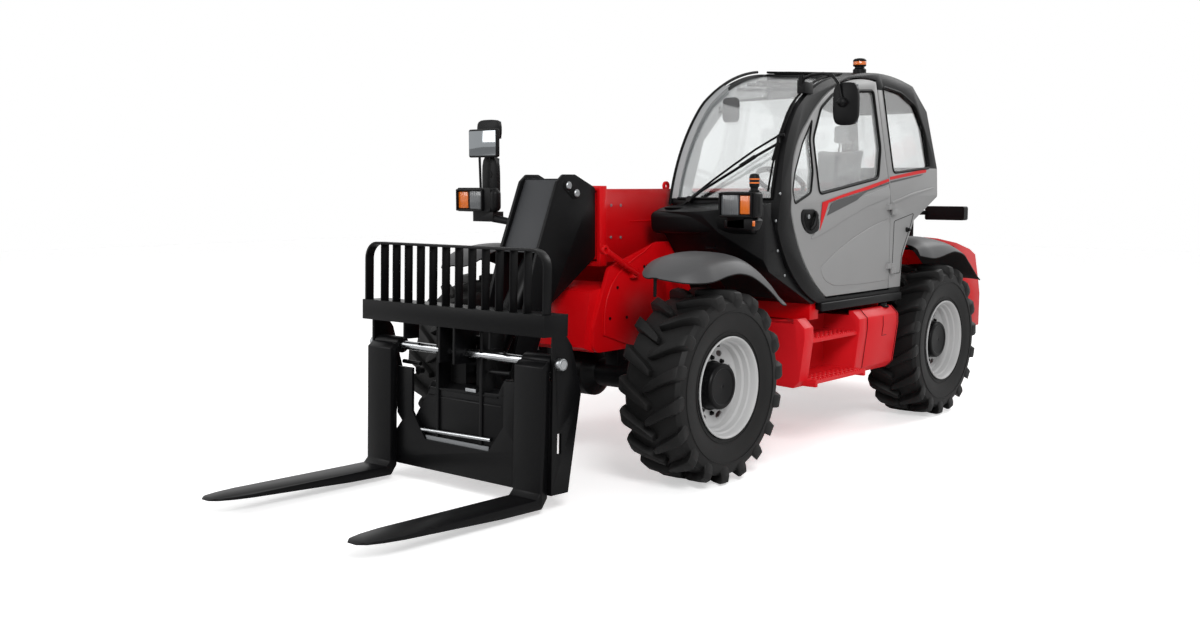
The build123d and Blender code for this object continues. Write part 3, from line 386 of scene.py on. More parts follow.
def loftPiece(sections):
    # A face with as many corners as the section is extruded from station to station.
    deselectAll()
    bpy.ops.mesh.primitive_circle_add(vertices=len(sections[0]), radius=0.1, fill_type="NGON")
    piece = bpy.context.object
    for vertex, point in zip(piece.data.vertices, sections[0]):
        vertex.co = at(*point)
    bpy.ops.object.mode_set(mode="EDIT")
    for section in sections[1:]:
        bpy.ops.mesh.extrude_region_move()
        mesh = bmesh.from_edit_mesh(piece.data)
        face = [f for f in mesh.faces if f.select][0]
        for vertex, point in zip(face.verts, section):
            vertex.co = at(*point)
        bmesh.update_edit_mesh(piece.data)
    bpy.ops.mesh.select_all(action="SELECT")
    bpy.ops.mesh.normals_make_consistent(inside=False)
    bpy.ops.object.mode_set(mode="OBJECT")
    return piece


def platePiece(plane, corners, start, end):
    # A plate cut to an outline: plane "x" reads (y, z) corners, "y" reads (x, z), "z" reads (x, y).
    order = {"x": lambda a, b, d: (d, a, b), "y": lambda a, b, d: (a, d, b), "z": lambda a, b, d: (a, b, d)}
    return loftPiece([[order[plane](a, b, d) for a, b in corners] for d in (start, end)])


def rodPiece(points, radius, sides=16):
    # A bent rod or tube: a curve through its corners, given its thickness and made a mesh.
    deselectAll()
    curve = bpy.data.curves.new("rod", "CURVE")
    curve.dimensions = "3D"
    spline = curve.splines.new("POLY")
    spline.points.add(len(points) - 1)
    for handle, point in zip(spline.points, points):
        handle.co = (*at(*point), 1)
    curve.bevel_depth = radius / 1000
    curve.bevel_resolution = max(0, sides // 4 - 1)
    curve.use_fill_caps = True
    piece = bpy.data.objects.new("rod", curve)
    bpy.context.scene.collection.objects.link(piece)
    activate(piece)
    bpy.ops.object.convert(target="MESH")
    return bpy.context.object


def spunPiece(profile, centre, steps=96, axis=(1, 0, 0)):
    # A closed outline beside the centre, (x, radius) for an axle along X or (radius, z) for an upright one.
    deselectAll()
    bpy.ops.mesh.primitive_circle_add(vertices=len(profile), radius=0.1)
    piece = bpy.context.object
    for vertex, (across, up) in zip(piece.data.vertices, profile):
        vertex.co = at(centre[0] + across, centre[1], centre[2] + up)
    bpy.ops.object.mode_set(mode="EDIT")
    bpy.ops.mesh.select_all(action="SELECT")
    bpy.ops.mesh.spin(steps=steps, angle=2 * math.pi, center=at(*centre), axis=axis)
    bpy.ops.mesh.select_all(action="SELECT")
    bpy.ops.mesh.remove_doubles(threshold=0.00005)
    bpy.ops.mesh.normals_make_consistent(inside=False)
    bpy.ops.object.mode_set(mode="OBJECT")
    return piece


def spunUp(profile, centre, steps=40):
    return spunPiece(profile, centre, steps, (0, 0, 1))


# wheels: tyres with deep traction lugs on stepped rims
wheel = {"wheelbase": 3106, "axleHeight": 615, "halfTrack": 968}
corners = {"fl": (1, 0), "fr": (-1, 0), "rl": (1, wheel["wheelbase"]), "rr": (-1, wheel["wheelbase"])}

# half of the casing's outline as (x, radius), outside and inside; one lug's stations from the middle of
# the tread, over the shoulder and down the sidewall: across, swing, tip radius, foot radius, half width
# at the tip and at the foot; and the sidewall's rings: radius, x, half width
tyreShape = {
    "outer": [(-180, 306), (-190, 318), (-194, 345), (-207, 400), (-215, 455), (-216, 500), (-208, 535),
              (-185, 556), (-120, 564), (0, 567)],
    "inner": [(0, 540), (-180, 530), (-195, 470), (-180, 380), (-160, 306)],
    "lug": ((-16, -6.4, 612, 556, 17, 24), (26, -4.0, 615, 556, 27, 34), (110, 0.6, 615, 552, 31, 39),
            (184, 4.2, 612, 544, 36, 45), (214, 5.8, 598, 535, 39, 49), (221, 6.6, 560, 515, 42, 52),
            (219, 7.0, 520, 492, 34, 44), (216, 7.2, 498, 484, 20, 30)),
    "lugsPerSide": 18, "lugEdge": 6, "lugSink": 16, "shoulder": 200,
    "rings": ((352, 197, 6), (478, 217, 5)),
}


def makeTyre(shape):
    centre = (wheel["halfTrack"], 0, wheel["axleHeight"])
    outer, inner = shape["outer"], shape["inner"]
    profile = outer + [(-x, r) for x, r in outer[-2::-1]] + [(-x, r) for x, r in inner[:0:-1]] + inner
    casing = spunPiece(profile, centre, 108)
    sections = []
    for across, swing, tip, foot, tipHalf, footHalf in shape["lug"]:
        side = []
        sink = shape["lugSink"] if across > shape["shoulder"] else 0
        for radius, half, depth in ((foot, -footHalf, sink), (tip, -tipHalf, 0), (tip, tipHalf, 0),
                                    (foot, footHalf, sink)):
            angle = math.radians(swing) + half / radius
            side.append((centre[0] + across - depth, radius * math.sin(angle),
                         centre[2] + radius * math.cos(angle)))
        sections.append(side)
    lug = loftPiece(sections)
    applyModifier(lug, "BEVEL", width=shape["lugEdge"] / 1000, segments=2, limit_method="ANGLE",
                  angle_limit=math.radians(40))
    other = copyPiece(lug, mirrorAcross(wheel["halfTrack"]))
    step = 360 / shape["lugsPerSide"]
    pieces = [casing]
    for i in range(shape["lugsPerSide"]):
        pieces.append(copyPiece(lug, turnAbout(at(*centre), "X", i * step)))
        pieces.append(copyPiece(other, turnAbout(at(*centre), "X", (i + 0.5) * step)))
    for spare in (lug, other):
        bpy.data.objects.remove(spare)
    # raised rings by the bead and where the lugs end
    for side in (-1, 1):
        for radius, x, width in shape["rings"]:
            ring = [(side * (x - 6), radius - width), (side * (x + 3), radius - width / 2),
                    (side * (x + 3), radius + width / 2), (side * (x - 6), radius + width)]
            pieces.append(spunPiece(ring, centre, 96))
    return joinPieces(pieces)


def makeWheels(shape):
    tyre = makeTyre(shape)
    for name, (side, y) in corners.items():
        move = Matrix.Translation(at(side * wheel["halfTrack"], y, 0) - at(wheel["halfTrack"], 0, 0))
        finishPiece(copyPiece(tyre, move), "tyreDressed_" + name, "tyre", "wheel_" + name, smooth=32,
                    replaces=("tyre_" + name,))
    bpy.data.objects.remove(tyre)
    print("tyres made")


rimShape = {
    "outside": [(-202, 312), (-206, 318), (-202, 323), (-194, 322), (-190, 306), (-100, 304), (-92, 296),
                (92, 296), (100, 304), (190, 306), (194, 322), (202, 323), (206, 318), (202, 312),
                (190, 304), (158, 298), (150, 288), (118, 284), (108, 270), (72, 264), (64, 254), (60, 240),
                (58, 190), (58, 120)],
    "inside": [(48, 120), (48, 190), (50, 246), (56, 262), (40, 274), (-88, 280), (-104, 290), (-188, 296)],
    "hub": [(57, 100), (57, 158), (66, 158), (70, 150), (140, 146), (150, 138), (152, 120), (146, 112),
            (146, 20), (144, 2), (100, 2)],
    "nut": [(57, 4), (78, 4), (80, 8), (78, 12), (66, 13), (64, 17), (57, 17)], "nuts": 10, "nutRadius": 178,
    "slots": 8, "slotRadius": 212, "slotWidth": 38, "slotStretch": 1.75, "discX": 55,
    "valve": ((120, -66, 262), (165, -68, 268)),
}


def makeRim(shape):
    centre = (wheel["halfTrack"], 0, wheel["axleHeight"])
    barrel = spunPiece(shape["outside"] + shape["inside"], centre, 96)
    cutters = []
    for i in range(shape["slots"]):
        deselectAll()
        bpy.ops.mesh.primitive_cylinder_add(vertices=24, radius=shape["slotWidth"] / 2000, depth=0.08,
                                            location=at(centre[0] + shape["discX"], 0,
                                                        centre[2] + shape["slotRadius"]),
                                            rotation=(0, math.pi / 2, 0), scale=(1, shape["slotStretch"], 1))
        bpy.ops.object.transform_apply(location=True, rotation=True, scale=True)
        cutter = bpy.context.object
        cutter.data.transform(turnAbout(at(*centre), "X", (i + 0.5) * 360 / shape["slots"]))
        cutters.append(cutter)
    cutter = joinPieces(cutters)
    applyModifier(barrel, "BOOLEAN", operation="DIFFERENCE", object=cutter, solver="EXACT")
    bpy.data.objects.remove(cutter)
    nuts = []
    for i in range(shape["nuts"]):
        nut = spunPiece(shape["nut"], (centre[0], 0, centre[2] + shape["nutRadius"]), 6)
        nut.data.transform(turnAbout(at(*centre), "X", i * 360 / shape["nuts"]))
        nuts.append(nut)
    hub = spunPiece(shape["hub"], centre, 64)
    valve = rodPiece([(centre[0] + x, y, centre[2] + z) for x, y, z in shape["valve"]], 7, 12)
    return barrel, joinPieces(nuts + [hub, valve])


def makeRims(shape):
    silver, black = makeRim(shape)
    for name, (side, y) in corners.items():
        move = Matrix.Translation(at(side * wheel["halfTrack"], y, 0) - at(wheel["halfTrack"], 0, 0))
        if side < 0:
            move = move @ mirrorAcross(wheel["halfTrack"])
        finishPiece(copyPiece(silver, move), "rimDressed_" + name, "silver", "wheel_" + name, bevel=1.5,
                    smooth=30, replaces=("rim_" + name,))
        finishPiece(copyPiece(black, move), "hubAndNuts_" + name, "black", "wheel_" + name, bevel=1.5,
                    smooth=30)
    bpy.data.objects.remove(silver)
    bpy.data.objects.remove(black)
    print("rims made")


# welded and moulded bodies: each takes its form from the frame and gets the rounded edges that plate
# has after cutting and coating, in millimetres; the body it rides on is named where it isn't the chassis
softened = {
    "cab_frame": ("dark", 8), "door": ("grey", 5, "door"), "cab_panel": ("grey", 5),
    "chassis_frame": ("red", 4), "boom_outer": ("red", 5, "boom"), "boom_inner": ("red", 3, "telescope"),
    "boom_head": ("black", 4, "telescope"), "tool_carrier": ("black", 3, "carriage"),
    "carriage_frame": ("black", 3, "carriage"), "backrest_guard": ("black", 1.5, "carriage"),
    "fork_left": ("black", 6, "fork_left"), "fork_right": ("black", 6, "fork_right"),
    "counterweight": ("red", 12), "fuel_tank": ("stepRed", 10), "steps": ("stepRed", 5),
    "engine_hood": ("red", 12, "hood"), "engine_bay": ("red", 5), "cowl": ("dark", 12),
    "front_axle": ("black", 5), "rear_axle": ("black", 5), "engine_block": ("iron", 12),
    "steering_column": ("dark", 4), "lift_barrel": ("black", 3, "lift_barrel"),
    "tilt_barrel": ("black", 3, "tilt_barrel"), "knuckle_fl": ("black", 4, "knuckle_fl"),
    "knuckle_fr": ("black", 4, "knuckle_fr"), "knuckle_rl": ("black", 4, "knuckle_rl"),
    "knuckle_rr": ("black", 4, "knuckle_rr"), "lamps": ("dark", 4),
}


def softenNodes(table):
    for name, (finish, bevel, *body) in table.items():
        mesh = nodes[name].data.copy()
        piece = bpy.data.objects.new(name + "Soft", mesh)
        bpy.context.scene.collection.objects.link(piece)
        activate(piece)
        bpy.ops.object.mode_set(mode="EDIT")
        bpy.ops.mesh.select_all(action="SELECT")
        bpy.ops.mesh.remove_doubles(threshold=0.00002)
        bpy.ops.mesh.dissolve_limited(angle_limit=math.radians(1.5))
        bpy.ops.object.mode_set(mode="OBJECT")
        finishPiece(piece, name + "Dressed", finish, *body, bevel=bevel, smooth=32, replaces=(name,))
    print("bodies rounded")


# cab: the side leans in above the shoulder, and every piece on it follows that
cab = {"outer": 1070, "shoulder": 1800, "lean": (1070 - 930) / (2650 - 1800)}


def leanIn(piece):
    activate(piece)
    bpy.ops.object.mode_set(mode="EDIT")
    bpy.ops.mesh.select_all(action="SELECT")
    bpy.ops.mesh.bisect(plane_co=at(0, 0, cab["shoulder"]), plane_no=(0, 0, 1))
    bpy.ops.object.mode_set(mode="OBJECT")
    for vertex in piece.data.vertices:
        above = vertex.co.z - cab["shoulder"] / 1000
        if above > 0:
            vertex.co.x -= above * cab["lean"]
    return piece


def sidePiece(corners, inner, outer):
    return leanIn(platePiece("x", corners, cab["outer"] + inner, cab["outer"] + outer))


def roundedCorners(points, radius, steps=5):
    # Each corner of an outline becomes a short arc.
    done = []
    count = len(points)
    for i, (a, b) in enumerate(points):
        here = Vector((a, b))
        before = Vector(points[i - 1]) - here
        after = Vector(points[(i + 1) % count]) - here
        reach = min(radius, before.length * 0.45, after.length * 0.45)
        start = here + before.normalized() * reach
        end = here + after.normalized() * reach
        for k in range(steps + 1):
            t = k / steps
            spot = start * (1 - t) ** 2 + here * 2 * t * (1 - t) + end * t ** 2
            done.append((spot.x, spot.y))
    return done


def sealPiece(points, radius, lift=0):
    # An extruded rubber seal pressed round a pane's edge.
    return leanIn(rodPiece([(cab["outer"] + lift, y, z) for y, z in points + points[:2]], radius, 8))


doorShape = {
    "window": [(1232, 1815), (1240, 2200), (1400, 2420), (1600, 2530), (1802, 2563), (2225, 2590),
               (2225, 2150), (2130, 1930)],
    "quarter": [(902, 1748), (1122, 1825), (1184, 1970), (1196, 2190), (1262, 2335), (1085, 2160),
                (935, 1955), (880, 1830)],
    "upperSwell": [(1100, 1500), (1293, 1539), (1599, 1632), (1920, 1721), (2285, 1784), (2285, 1870),
                   (1880, 1800), (1500, 1745), (1300, 1700), (1190, 1560)],
    "lowerSwell": [(1251, 1296), (1452, 1395), (1701, 1487), (1995, 1571), (2285, 1626), (2285, 1152),
                   (1814, 1147), (1446, 1157), (1306, 1209)],
    "stripe": [(1228, 1560), (1262, 1757), (1528, 1806), (1880, 1860), (2286, 1926), (2286, 1905),
               (1927, 1842), (1791, 1825), (1498, 1782), (1345, 1752), (1296, 1668)],
    "flash": [(1325, 1663), (1386, 1746), (1498, 1772), (1791, 1815), (2286, 1898), (2286, 1890),
              (1925, 1833), (1835, 1805), (1753, 1767)],
    "handle": [(983, 1690), (1009, 1712), (1162, 1712), (1214, 1655), (1227, 1564), (1121, 1534),
               (1034, 1562), (983, 1630)],
    "cupCentre": (1105, 1628),
    "grip": [(1080, 1160, 1690), (1098, 1150, 1665), (1101, 1118, 1600), (1084, 1104, 1572)],
}


def makeDoor(shape):
    # the quarter light runs up between the pillar and the main pane
    door = bpy.data.objects["doorDressed"]
    cutter = sidePiece(roundedCorners(shape["quarter"], 26), -120, 40)
    applyModifier(door, "BOOLEAN", operation="DIFFERENCE", object=cutter, solver="EXACT")
    bpy.data.objects.remove(cutter)
    panes = [sidePiece(roundedCorners(shape[name], 26), -17, -11) for name in ("window", "quarter")]
    finishPiece(panes, "doorPanes", "glass", "door", replaces=("door_glass",))
    for name in ("upperSwell", "lowerSwell"):
        swell = sidePiece(roundedCorners(shape[name], 60), -6, 6)
        finishPiece(swell, "door_" + name, "grey", "door", bevel=5.5, segments=5, smooth=60)
    for name, width in (("window", 12), ("quarter", 8)):
        seal = sealPiece(roundedCorners(shape[name], 40 if name == "window" else 26), width, -3)
        finishPiece(seal, "doorSeal_" + name, "seal", "door")
    # the latch handle sits in a rounded cup
    cup = sidePiece(roundedCorners(shape["handle"], 40), -4, 9)
    finishPiece(cup, "doorHandleCup", "dark", "door", bevel=5, segments=4)
    across, up = shape["cupCentre"]
    recess = sidePiece(roundedCorners([(across + (y - across) * 0.72, up + (z - up) * 0.74)
                                       for y, z in shape["handle"]], 30), 8, 11)
    finishPiece(recess, "doorHandleRecess", "seal", "door", bevel=2)
    finishPiece(rodPiece(shape["grip"], 15, 12), "doorHandleGrip", "dark", "door")
    lock = spunPiece([(0, 2), (0, 16), (12, 15), (14, 10), (14, 2)], (1079, 1058, 1660), 24)
    finishPiece(lock, "doorLock", "zinc", "door", slot="dark_plastic")
    # coloured stripe that climbs to the rear, with a dark flash under its start
    for name, finish, lift in (("stripe", "red", 8), ("flash", "fender", 8.5)):
        finishPiece(sidePiece(shape[name], lift - 3, lift), "door_" + name, finish, "door")
    print("door made")


# windshield: a profile of three arcs, swept to the left, back and down
screen = {"arcs": (((545, 1500), (625, 1960), (950, 2450)), ((950, 2450), (1280, 2632), (1740, 2730)),
                   ((1740, 2730), (2230, 2785), (2780, 2720))), "back": 130 / 800, "down": 50 / 800,
          "foot": 270}


def arcPoints(first, middle, last, steps):
    a, b, c = (Vector(p) for p in (first, middle, last))
    d = 2 * (a.x * (b.y - c.y) + b.x * (c.y - a.y) + c.x * (a.y - b.y))
    centre = Vector((a.length_squared * (b.y - c.y) + b.length_squared * (c.y - a.y)
                     + c.length_squared * (a.y - b.y),
                     a.length_squared * (c.x - b.x) + b.length_squared * (a.x - c.x)
                     + c.length_squared * (b.x - a.x))) / d
    start = math.atan2(a.y - centre.y, a.x - centre.x)
    end = math.atan2(c.y - centre.y, c.x - centre.x)
    turn = (end - start + math.pi) % (2 * math.pi) - math.pi
    radius = (a - centre).length
    return [centre + radius * Vector((math.cos(start + turn * k / steps), math.sin(start + turn * k / steps)))
            for k in range(steps + 1)]


screenLine = [point for arc in screen["arcs"] for point in arcPoints(*arc, 24)]


def screenPoint(x, share, out=0):
    # share runs from 0 at the foot of the windshield to 1 at the rear of the roof
    spot = share * (len(screenLine) - 2)
    k = int(spot)
    along = screenLine[k + 1] - screenLine[k]
    flat = screenLine[k] + along * (spot - k)
    if along.length > 0:
        flat = flat + Vector((-along.y, along.x)).normalized() * out
    across = x - screen["foot"]
    return (x, flat.x + across * screen["back"], flat.y - across * screen["down"])


def screenShare(x, z):
    # the share at which the windshield reaches height z
    low, high = 0.0, 1.0
    for _ in range(24):
        middle = (low + high) / 2
        if screenPoint(x, middle)[2] < z:
            low = middle
        else:
            high = middle
    return low


def screenAt(x, z, out=0):
    return screenPoint(x, screenShare(x, z), out)


def pillarX(z):
    # right-hand limit of the glass, beside the left pillar
    return 1008 - max(0, z - 1780) * 0.07 - max(0, z - 1990) * 0.09


# pieces on the glass; a strip's edges are (x, distance from the glass), a rod's corners (x, z, distance)
glassShape = {
    "rearShare": 0.655, "sealHeights": (1785, 2560, 45), "stripHeights": (1785, 2620, 45),
    "lipHeights": (1740, 2620, 40),
    "band": ((272, 0), (272, 4), (322, 4), (322, 0)),
    "rebate": ((296, 1), (303, 1), (303, -46), (296, -46)),
    "lining": [(1700, 2545), (1240, 2492), (890, 2190), (748, 1825), (748, 1700)],
    "guardShares": (0.49, 0.545, 0.6), "guardX": (320, 860),
    "lowArm": ((367, 1722, 24), (513, 1828, 34), (724, 1961, 36), (853, 2056, 34), (978, 2143, 26)),
    "highArm": ((425, 1775, 24), (581, 1895, 36), (714, 1998, 38), (839, 2101, 36), (961, 2191, 30)),
    "blade": ((934, 2455, 16), (958, 2330, 16), (968, 2200, 16), (976, 2010, 16), (984, 1830, 16)),
    "holder": ((950, 2350, 30), (968, 2200, 34), (974, 2030, 30)),
    "screws": ((714, 1820), (664, 1640), (692, 1440), (784, 1270)),
}


def glassStrip(edges):
    return loftPiece([[screenAt(x, z, out) for x, out in edges] for z in range(*glassShape["stripHeights"])])


def glassRod(points, radius):
    return rodPiece([screenAt(x, z, out) for x, z, out in points], radius, 8)


def makeWindshield(shape):
    bottom, top, step = shape["sealHeights"]
    rear = shape["rearShare"]
    right = [screenAt(pillarX(z), z, 2) for z in range(bottom, top, step)]
    topShare = screenShare(pillarX(top), top)
    right += [screenPoint(pillarX(top), topShare + (rear - topShare) * k / 8, 2) for k in range(1, 9)]
    seal = rodPiece([screenPoint(320, rear, 2)] + right[::-1] + [screenAt(320, bottom - 1, 2)], 9, 8)
    finishPiece(seal, "windshieldSeal", "seal")
    # grey band printed on the pane inside its seal, and the pillar's light lining behind it
    finishPiece(glassStrip(shape["band"]), "windshieldBand", "trim")
    lip = rodPiece([screenAt(268, z, 4) for z in range(*shape["lipHeights"])]
                   + [screenPoint(268, screenShare(268, 2600) + k * 0.02, 4) for k in range(1, 10)], 11, 8)
    finishPiece(lip, "windshieldLip", "seal")
    outline = [screenPoint(312, 0.06 + k * 0.022, -34)[1:] for k in range(28)] + shape["lining"]
    finishPiece([platePiece("x", outline, 313, 318), glassStrip(shape["rebate"])], "pillarLining", "trim")
    # roof guard: bars under the roof glass, as on a falling-object guard
    bars = [rodPiece([screenPoint(x, share, -60) for x in shape["guardX"]], 13, 8)
            for share in shape["guardShares"]]
    finishPiece(bars, "roofGuardBars", "black")
    # two parallel wiper arms from the foot of the glass, with their blade along the pillar
    arms = [glassRod(shape["lowArm"], 10), glassRod(shape["highArm"], 8)]
    for x, z, _ in (shape["lowArm"][0], shape["highArm"][0]):
        arms.append(rodPiece([screenAt(x, z), screenAt(x, z, 36)], 22, 16))
    arms.append(glassRod((shape["lowArm"][-1], shape["highArm"][-1], (1000, 2200, 26)), 13))
    arms.append(glassRod(((760, 1990, 34), (850, 2055, 34)), 15))
    finishPiece(arms, "wiperArms", "dark", smooth=50)
    finishPiece([glassRod(shape["blade"], 8), glassRod(shape["holder"], 7)], "wiperBlade", "seal")
    # screws that hold the pillar's outer moulding
    screws = [spunPiece([(-6, 1), (-6, 9), (1, 9), (3, 6), (3, 1)], (1072, y, z), 16)
              for y, z in shape["screws"]]
    finishPiece(screws, "pillarScrews", "zinc", slot="dark_plastic")
    print("windshield made")


panelShape = {
    "glassEdge": [(2385, 1970), (2385, 2630), (2680, 2600), (2905, 2510), (3020, 2300), (3030, 2015)],
    "service": [(2362, 1600), (2690, 1655), (2640, 1560), (2500, 1350), (2478, 1196), (2345, 1196)],
    "crease": [(2318, 1725), (2640, 1792), (3050, 1848), (3050, 1862), (2640, 1812), (2318, 1750)],
    "stripe": [(2316, 1938), (2900, 2000), (2960, 1998), (2950, 1978), (2316, 1916)],
    "flash": [(2316, 1906), (2900, 1966), (2850, 1952), (2316, 1892)],
    "sill": [(1030, 1047), (1086, 1047), (1086, 985), (1030, 1000)],
    "knob": [(-4, 1), (-4, 20), (8, 20), (12, 14), (26, 14), (30, 10), (30, 1)],
}


def makeRearPanel(shape):
    seal = sealPiece(roundedCorners(shape["glassEdge"], 40), 11, -3)
    finishPiece(seal, "rearSideSeal", "seal")
    finishPiece(sidePiece(shape["stripe"], -4, 2.5), "panelStripe", "red")
    finishPiece(sidePiece(shape["flash"], -4, 2.5), "panelFlash", "fender")
    line = roundedCorners(shape["service"], 18, 3)
    joint = rodPiece([(cab["outer"] + 0.5, y, z) for y, z in line + line[:2]], 2.6, 6)
    finishPiece(joint, "servicePanelJoint", "seal")
    knob = spunPiece(shape["knob"], (1071, 2577, 1530), 24)
    finishPiece(knob, "servicePanelKnob", "dark", bevel=1.5)
    crease = sidePiece(roundedCorners(shape["crease"], 10), -6, 6)
    finishPiece(crease, "panelSwell", "grey", bevel=5, segments=3, smooth=60)
    finishPiece(platePiece("y", shape["sill"], 1262, 2490), "cabSill", "dark", bevel=9, segments=3)
    print("rear panel made")


# headliner, dashboard, the driver's own mirror, post trim, side console and its lever
insideShape = {
    "liner": ((330, -62), (850, -62), (850, -78), (330, -78)), "linerShares": (0.68, 0.76, 0.84, 0.92),
    "dash": [[(330, 760, 1560), (1000, 820, 1560), (980, 900, 1640), (330, 840, 1640)],
             [(330, 860, 1640), (960, 920, 1640), (960, 1010, 1655), (330, 960, 1655)]],
    "mirror": [(372, 2322), (508, 2322), (508, 2498), (372, 2498)],
    "stalk": [(330, 1075, 2440), (300, 1085, 2400), (320, 1075, 2400), (430, 1056, 2410)],
    "post": [(2330, 1500), (2360, 2560), (2400, 2560), (2400, 1500)],
    "console": ((1360, 1575), (1620, 1600), (1900, 1680), (2180, 1690)),
    "lever": [(380, 1760, 1650), (382, 1740, 1740), (390, 1715, 1800)],
    "knob": [(390, 1715, 1790), (396, 1700, 1860)],
}


def makeCabInside(shape):
    liner = loftPiece([[screenPoint(x, share, out) for x, out in shape["liner"]]
                       for share in shape["linerShares"]])
    finishPiece(liner, "cabHeadliner", "trim", bevel=6)
    finishPiece(loftPiece(shape["dash"]), "dashboardTop", "dark", bevel=12)
    mirror = platePiece("y", roundedCorners(shape["mirror"], 40), 1040, 1062)
    finishPiece(mirror, "cabMirror", "fender", bevel=6, segments=3)
    finishPiece(rodPiece(shape["stalk"], 7, 8), "cabMirrorStalk", "dark")
    finishPiece(leanIn(platePiece("x", shape["post"], 975, 990)), "cabPostTrim", "trim", bevel=4)
    console = loftPiece([[(330, y, 1500), (430, y, 1500), (430, y, z), (330, y, z)]
                         for y, z in shape["console"]])
    finishPiece(console, "sideConsole", "dark", bevel=10)
    lever = [rodPiece(shape["lever"], 9, 10), rodPiece(shape["knob"], 21, 16)]
    finishPiece(lever, "controlLever", "dark", smooth=50)
    print("cab furnished")


# the seat: three crowned cushions, filled with foam under a woven cover, on a sprung base
#   each station: left, right, front, rear, height at the front, height at the rear
seatShape = {
    "voxel": 0.007, "pressure": 4.0, "cap": 0.020, "steps": 20,
    "base": [(480, 780, 1760, 2150, 1090, 1090), (480, 780, 1760, 2150, 1180, 1180),
             (520, 740, 1800, 2110, 1210, 1210), (520, 740, 1800, 2110, 1360, 1360),
             (470, 790, 1750, 2160, 1385, 1385), (470, 790, 1750, 2160, 1416, 1416)],
    "cushions": {
        "seatCushion": [(420, 840, 1700, 2165, 1434, 1434), (420, 840, 1700, 2165, 1520, 1520)],
        "seatBack": [(430, 830, 2160, 2234, 1560, 1568), (430, 830, 2195, 2269, 1760, 1768),
                     (430, 830, 2232, 2306, 1960, 1968), (430, 830, 2268, 2342, 2150, 2158)],
        "seatHead": [(538, 722, 2334, 2400, 2205, 2205), (538, 722, 2338, 2404, 2340, 2340)]},
    "postX": (590, 670), "railX": (450, 810),
}


def stationPiece(stations):
    return loftPiece([[(x0, y0, z0), (x1, y0, z0), (x1, y1, z1), (x0, y1, z1)]
                      for x0, x1, y0, y1, z0, z1 in stations])


def cushionPiece(stations, settings):
    # A sewn case is blown up a little, so its sides pull in between the corners and its faces crown.
    piece = stationPiece(stations)
    applyModifier(piece, "BEVEL", width=0.022, segments=4, limit_method="ANGLE", angle_limit=math.radians(32))
    applyModifier(piece, "REMESH", mode="VOXEL", voxel_size=settings["voxel"])
    start = [vertex.co.copy() for vertex in piece.data.vertices]
    activate(piece)
    cloth = piece.modifiers.new("cloth", "CLOTH")
    cloth.settings.use_pressure = True
    cloth.settings.uniform_pressure_force = settings["pressure"]
    cloth.settings.effector_weights.gravity = 0
    cloth.point_cache.frame_start, cloth.point_cache.frame_end = 1, settings["steps"]
    for step in range(1, settings["steps"] + 1):
        bpy.context.scene.frame_set(step)
    bpy.ops.object.modifier_apply(modifier=cloth.name)
    bpy.context.scene.frame_set(1)
    for vertex, place in zip(piece.data.vertices, start):
        move = vertex.co - place
        if move.length > settings["cap"]:
            vertex.co = place + move.normalized() * settings["cap"]
    applyModifier(piece, "SUBSURF", levels=1, render_levels=1)
    return piece


def makeSeat(settings):
    finishPiece(stationPiece(settings["base"]), "seatBase", "dark", bevel=8, replaces=("seat",))
    for name, stations in settings["cushions"].items():
        piece = finishPiece(cushionPiece(stations, settings), name, "fabric", smooth=60)
    posts = [rodPiece([(x, 2330, 2100), (x, 2362, 2230)], 7, 12) for x in settings["postX"]]
    posts += [rodPiece([(x, 2120, 1425), (x, 2220, 1470), (x, 2300, 1640)], 14, 12)
              for x in settings["railX"]]
    finishPiece(posts, "seatPosts", "black", smooth=50, slot="steel")
    print("seat made")


# lamps: shells, lenses and rims on both sides, and two warning beacons
lampShape = {
    "shells": {"leftLampShell": ((880, 1160, 281, 362, 1666, 1834), 32),
               "rightLampShell": ((-1045, -664, -229, -148, 1688, 1852), 38)},
    "lenses": {"leftLampLens": ((898, 1030, 286, 1684, 1816), "lens"),
               "leftTurnLens": ((1042, 1128, 286, 1690, 1810), "amber"),
               "rightLampLens": ((-914, -782, -224, 1706, 1836), "lens"),
               "rightTurnLens": ((-1028, -932, -224, 1712, 1830), "amber")},
    "rims": {"leftLampRim": (884, 1138, 262, 284, 1672, 1828),
             "rightLampRim": (-1040, -776, -250, -226, 1694, 1848)},
    "rimWall": 12,
    "foot": [(905, 1600), (1120, 1585), (1150, 1650), (1120, 1672), (905, 1650)],
    "smallBeacon": (1106, 345, 1832), "ringHeights": (1886, 1910), "roofBeacon": (860, 2150),
}


def lensPiece(name, place, finish, outward=-1):
    x0, x1, y, z0, z1 = place
    return finishPiece(boxPiece(x0, x1, y, y + outward * 10, z0, z1), name, finish, bevel=5, segments=3)


def framePiece(x0, x1, y0, y1, z0, z1, wall):
    # a deep rim round a lamp, open to the front
    outer = [(x0, z0), (x1, z0), (x1, z1), (x0, z1)]
    inner = [(x0 + wall, z0 + wall), (x1 - wall, z0 + wall), (x1 - wall, z1 - wall), (x0 + wall, z1 - wall)]
    return [platePiece("y", [outer[k], outer[k - 3], inner[k - 3], inner[k]], y0, y1) for k in range(4)]


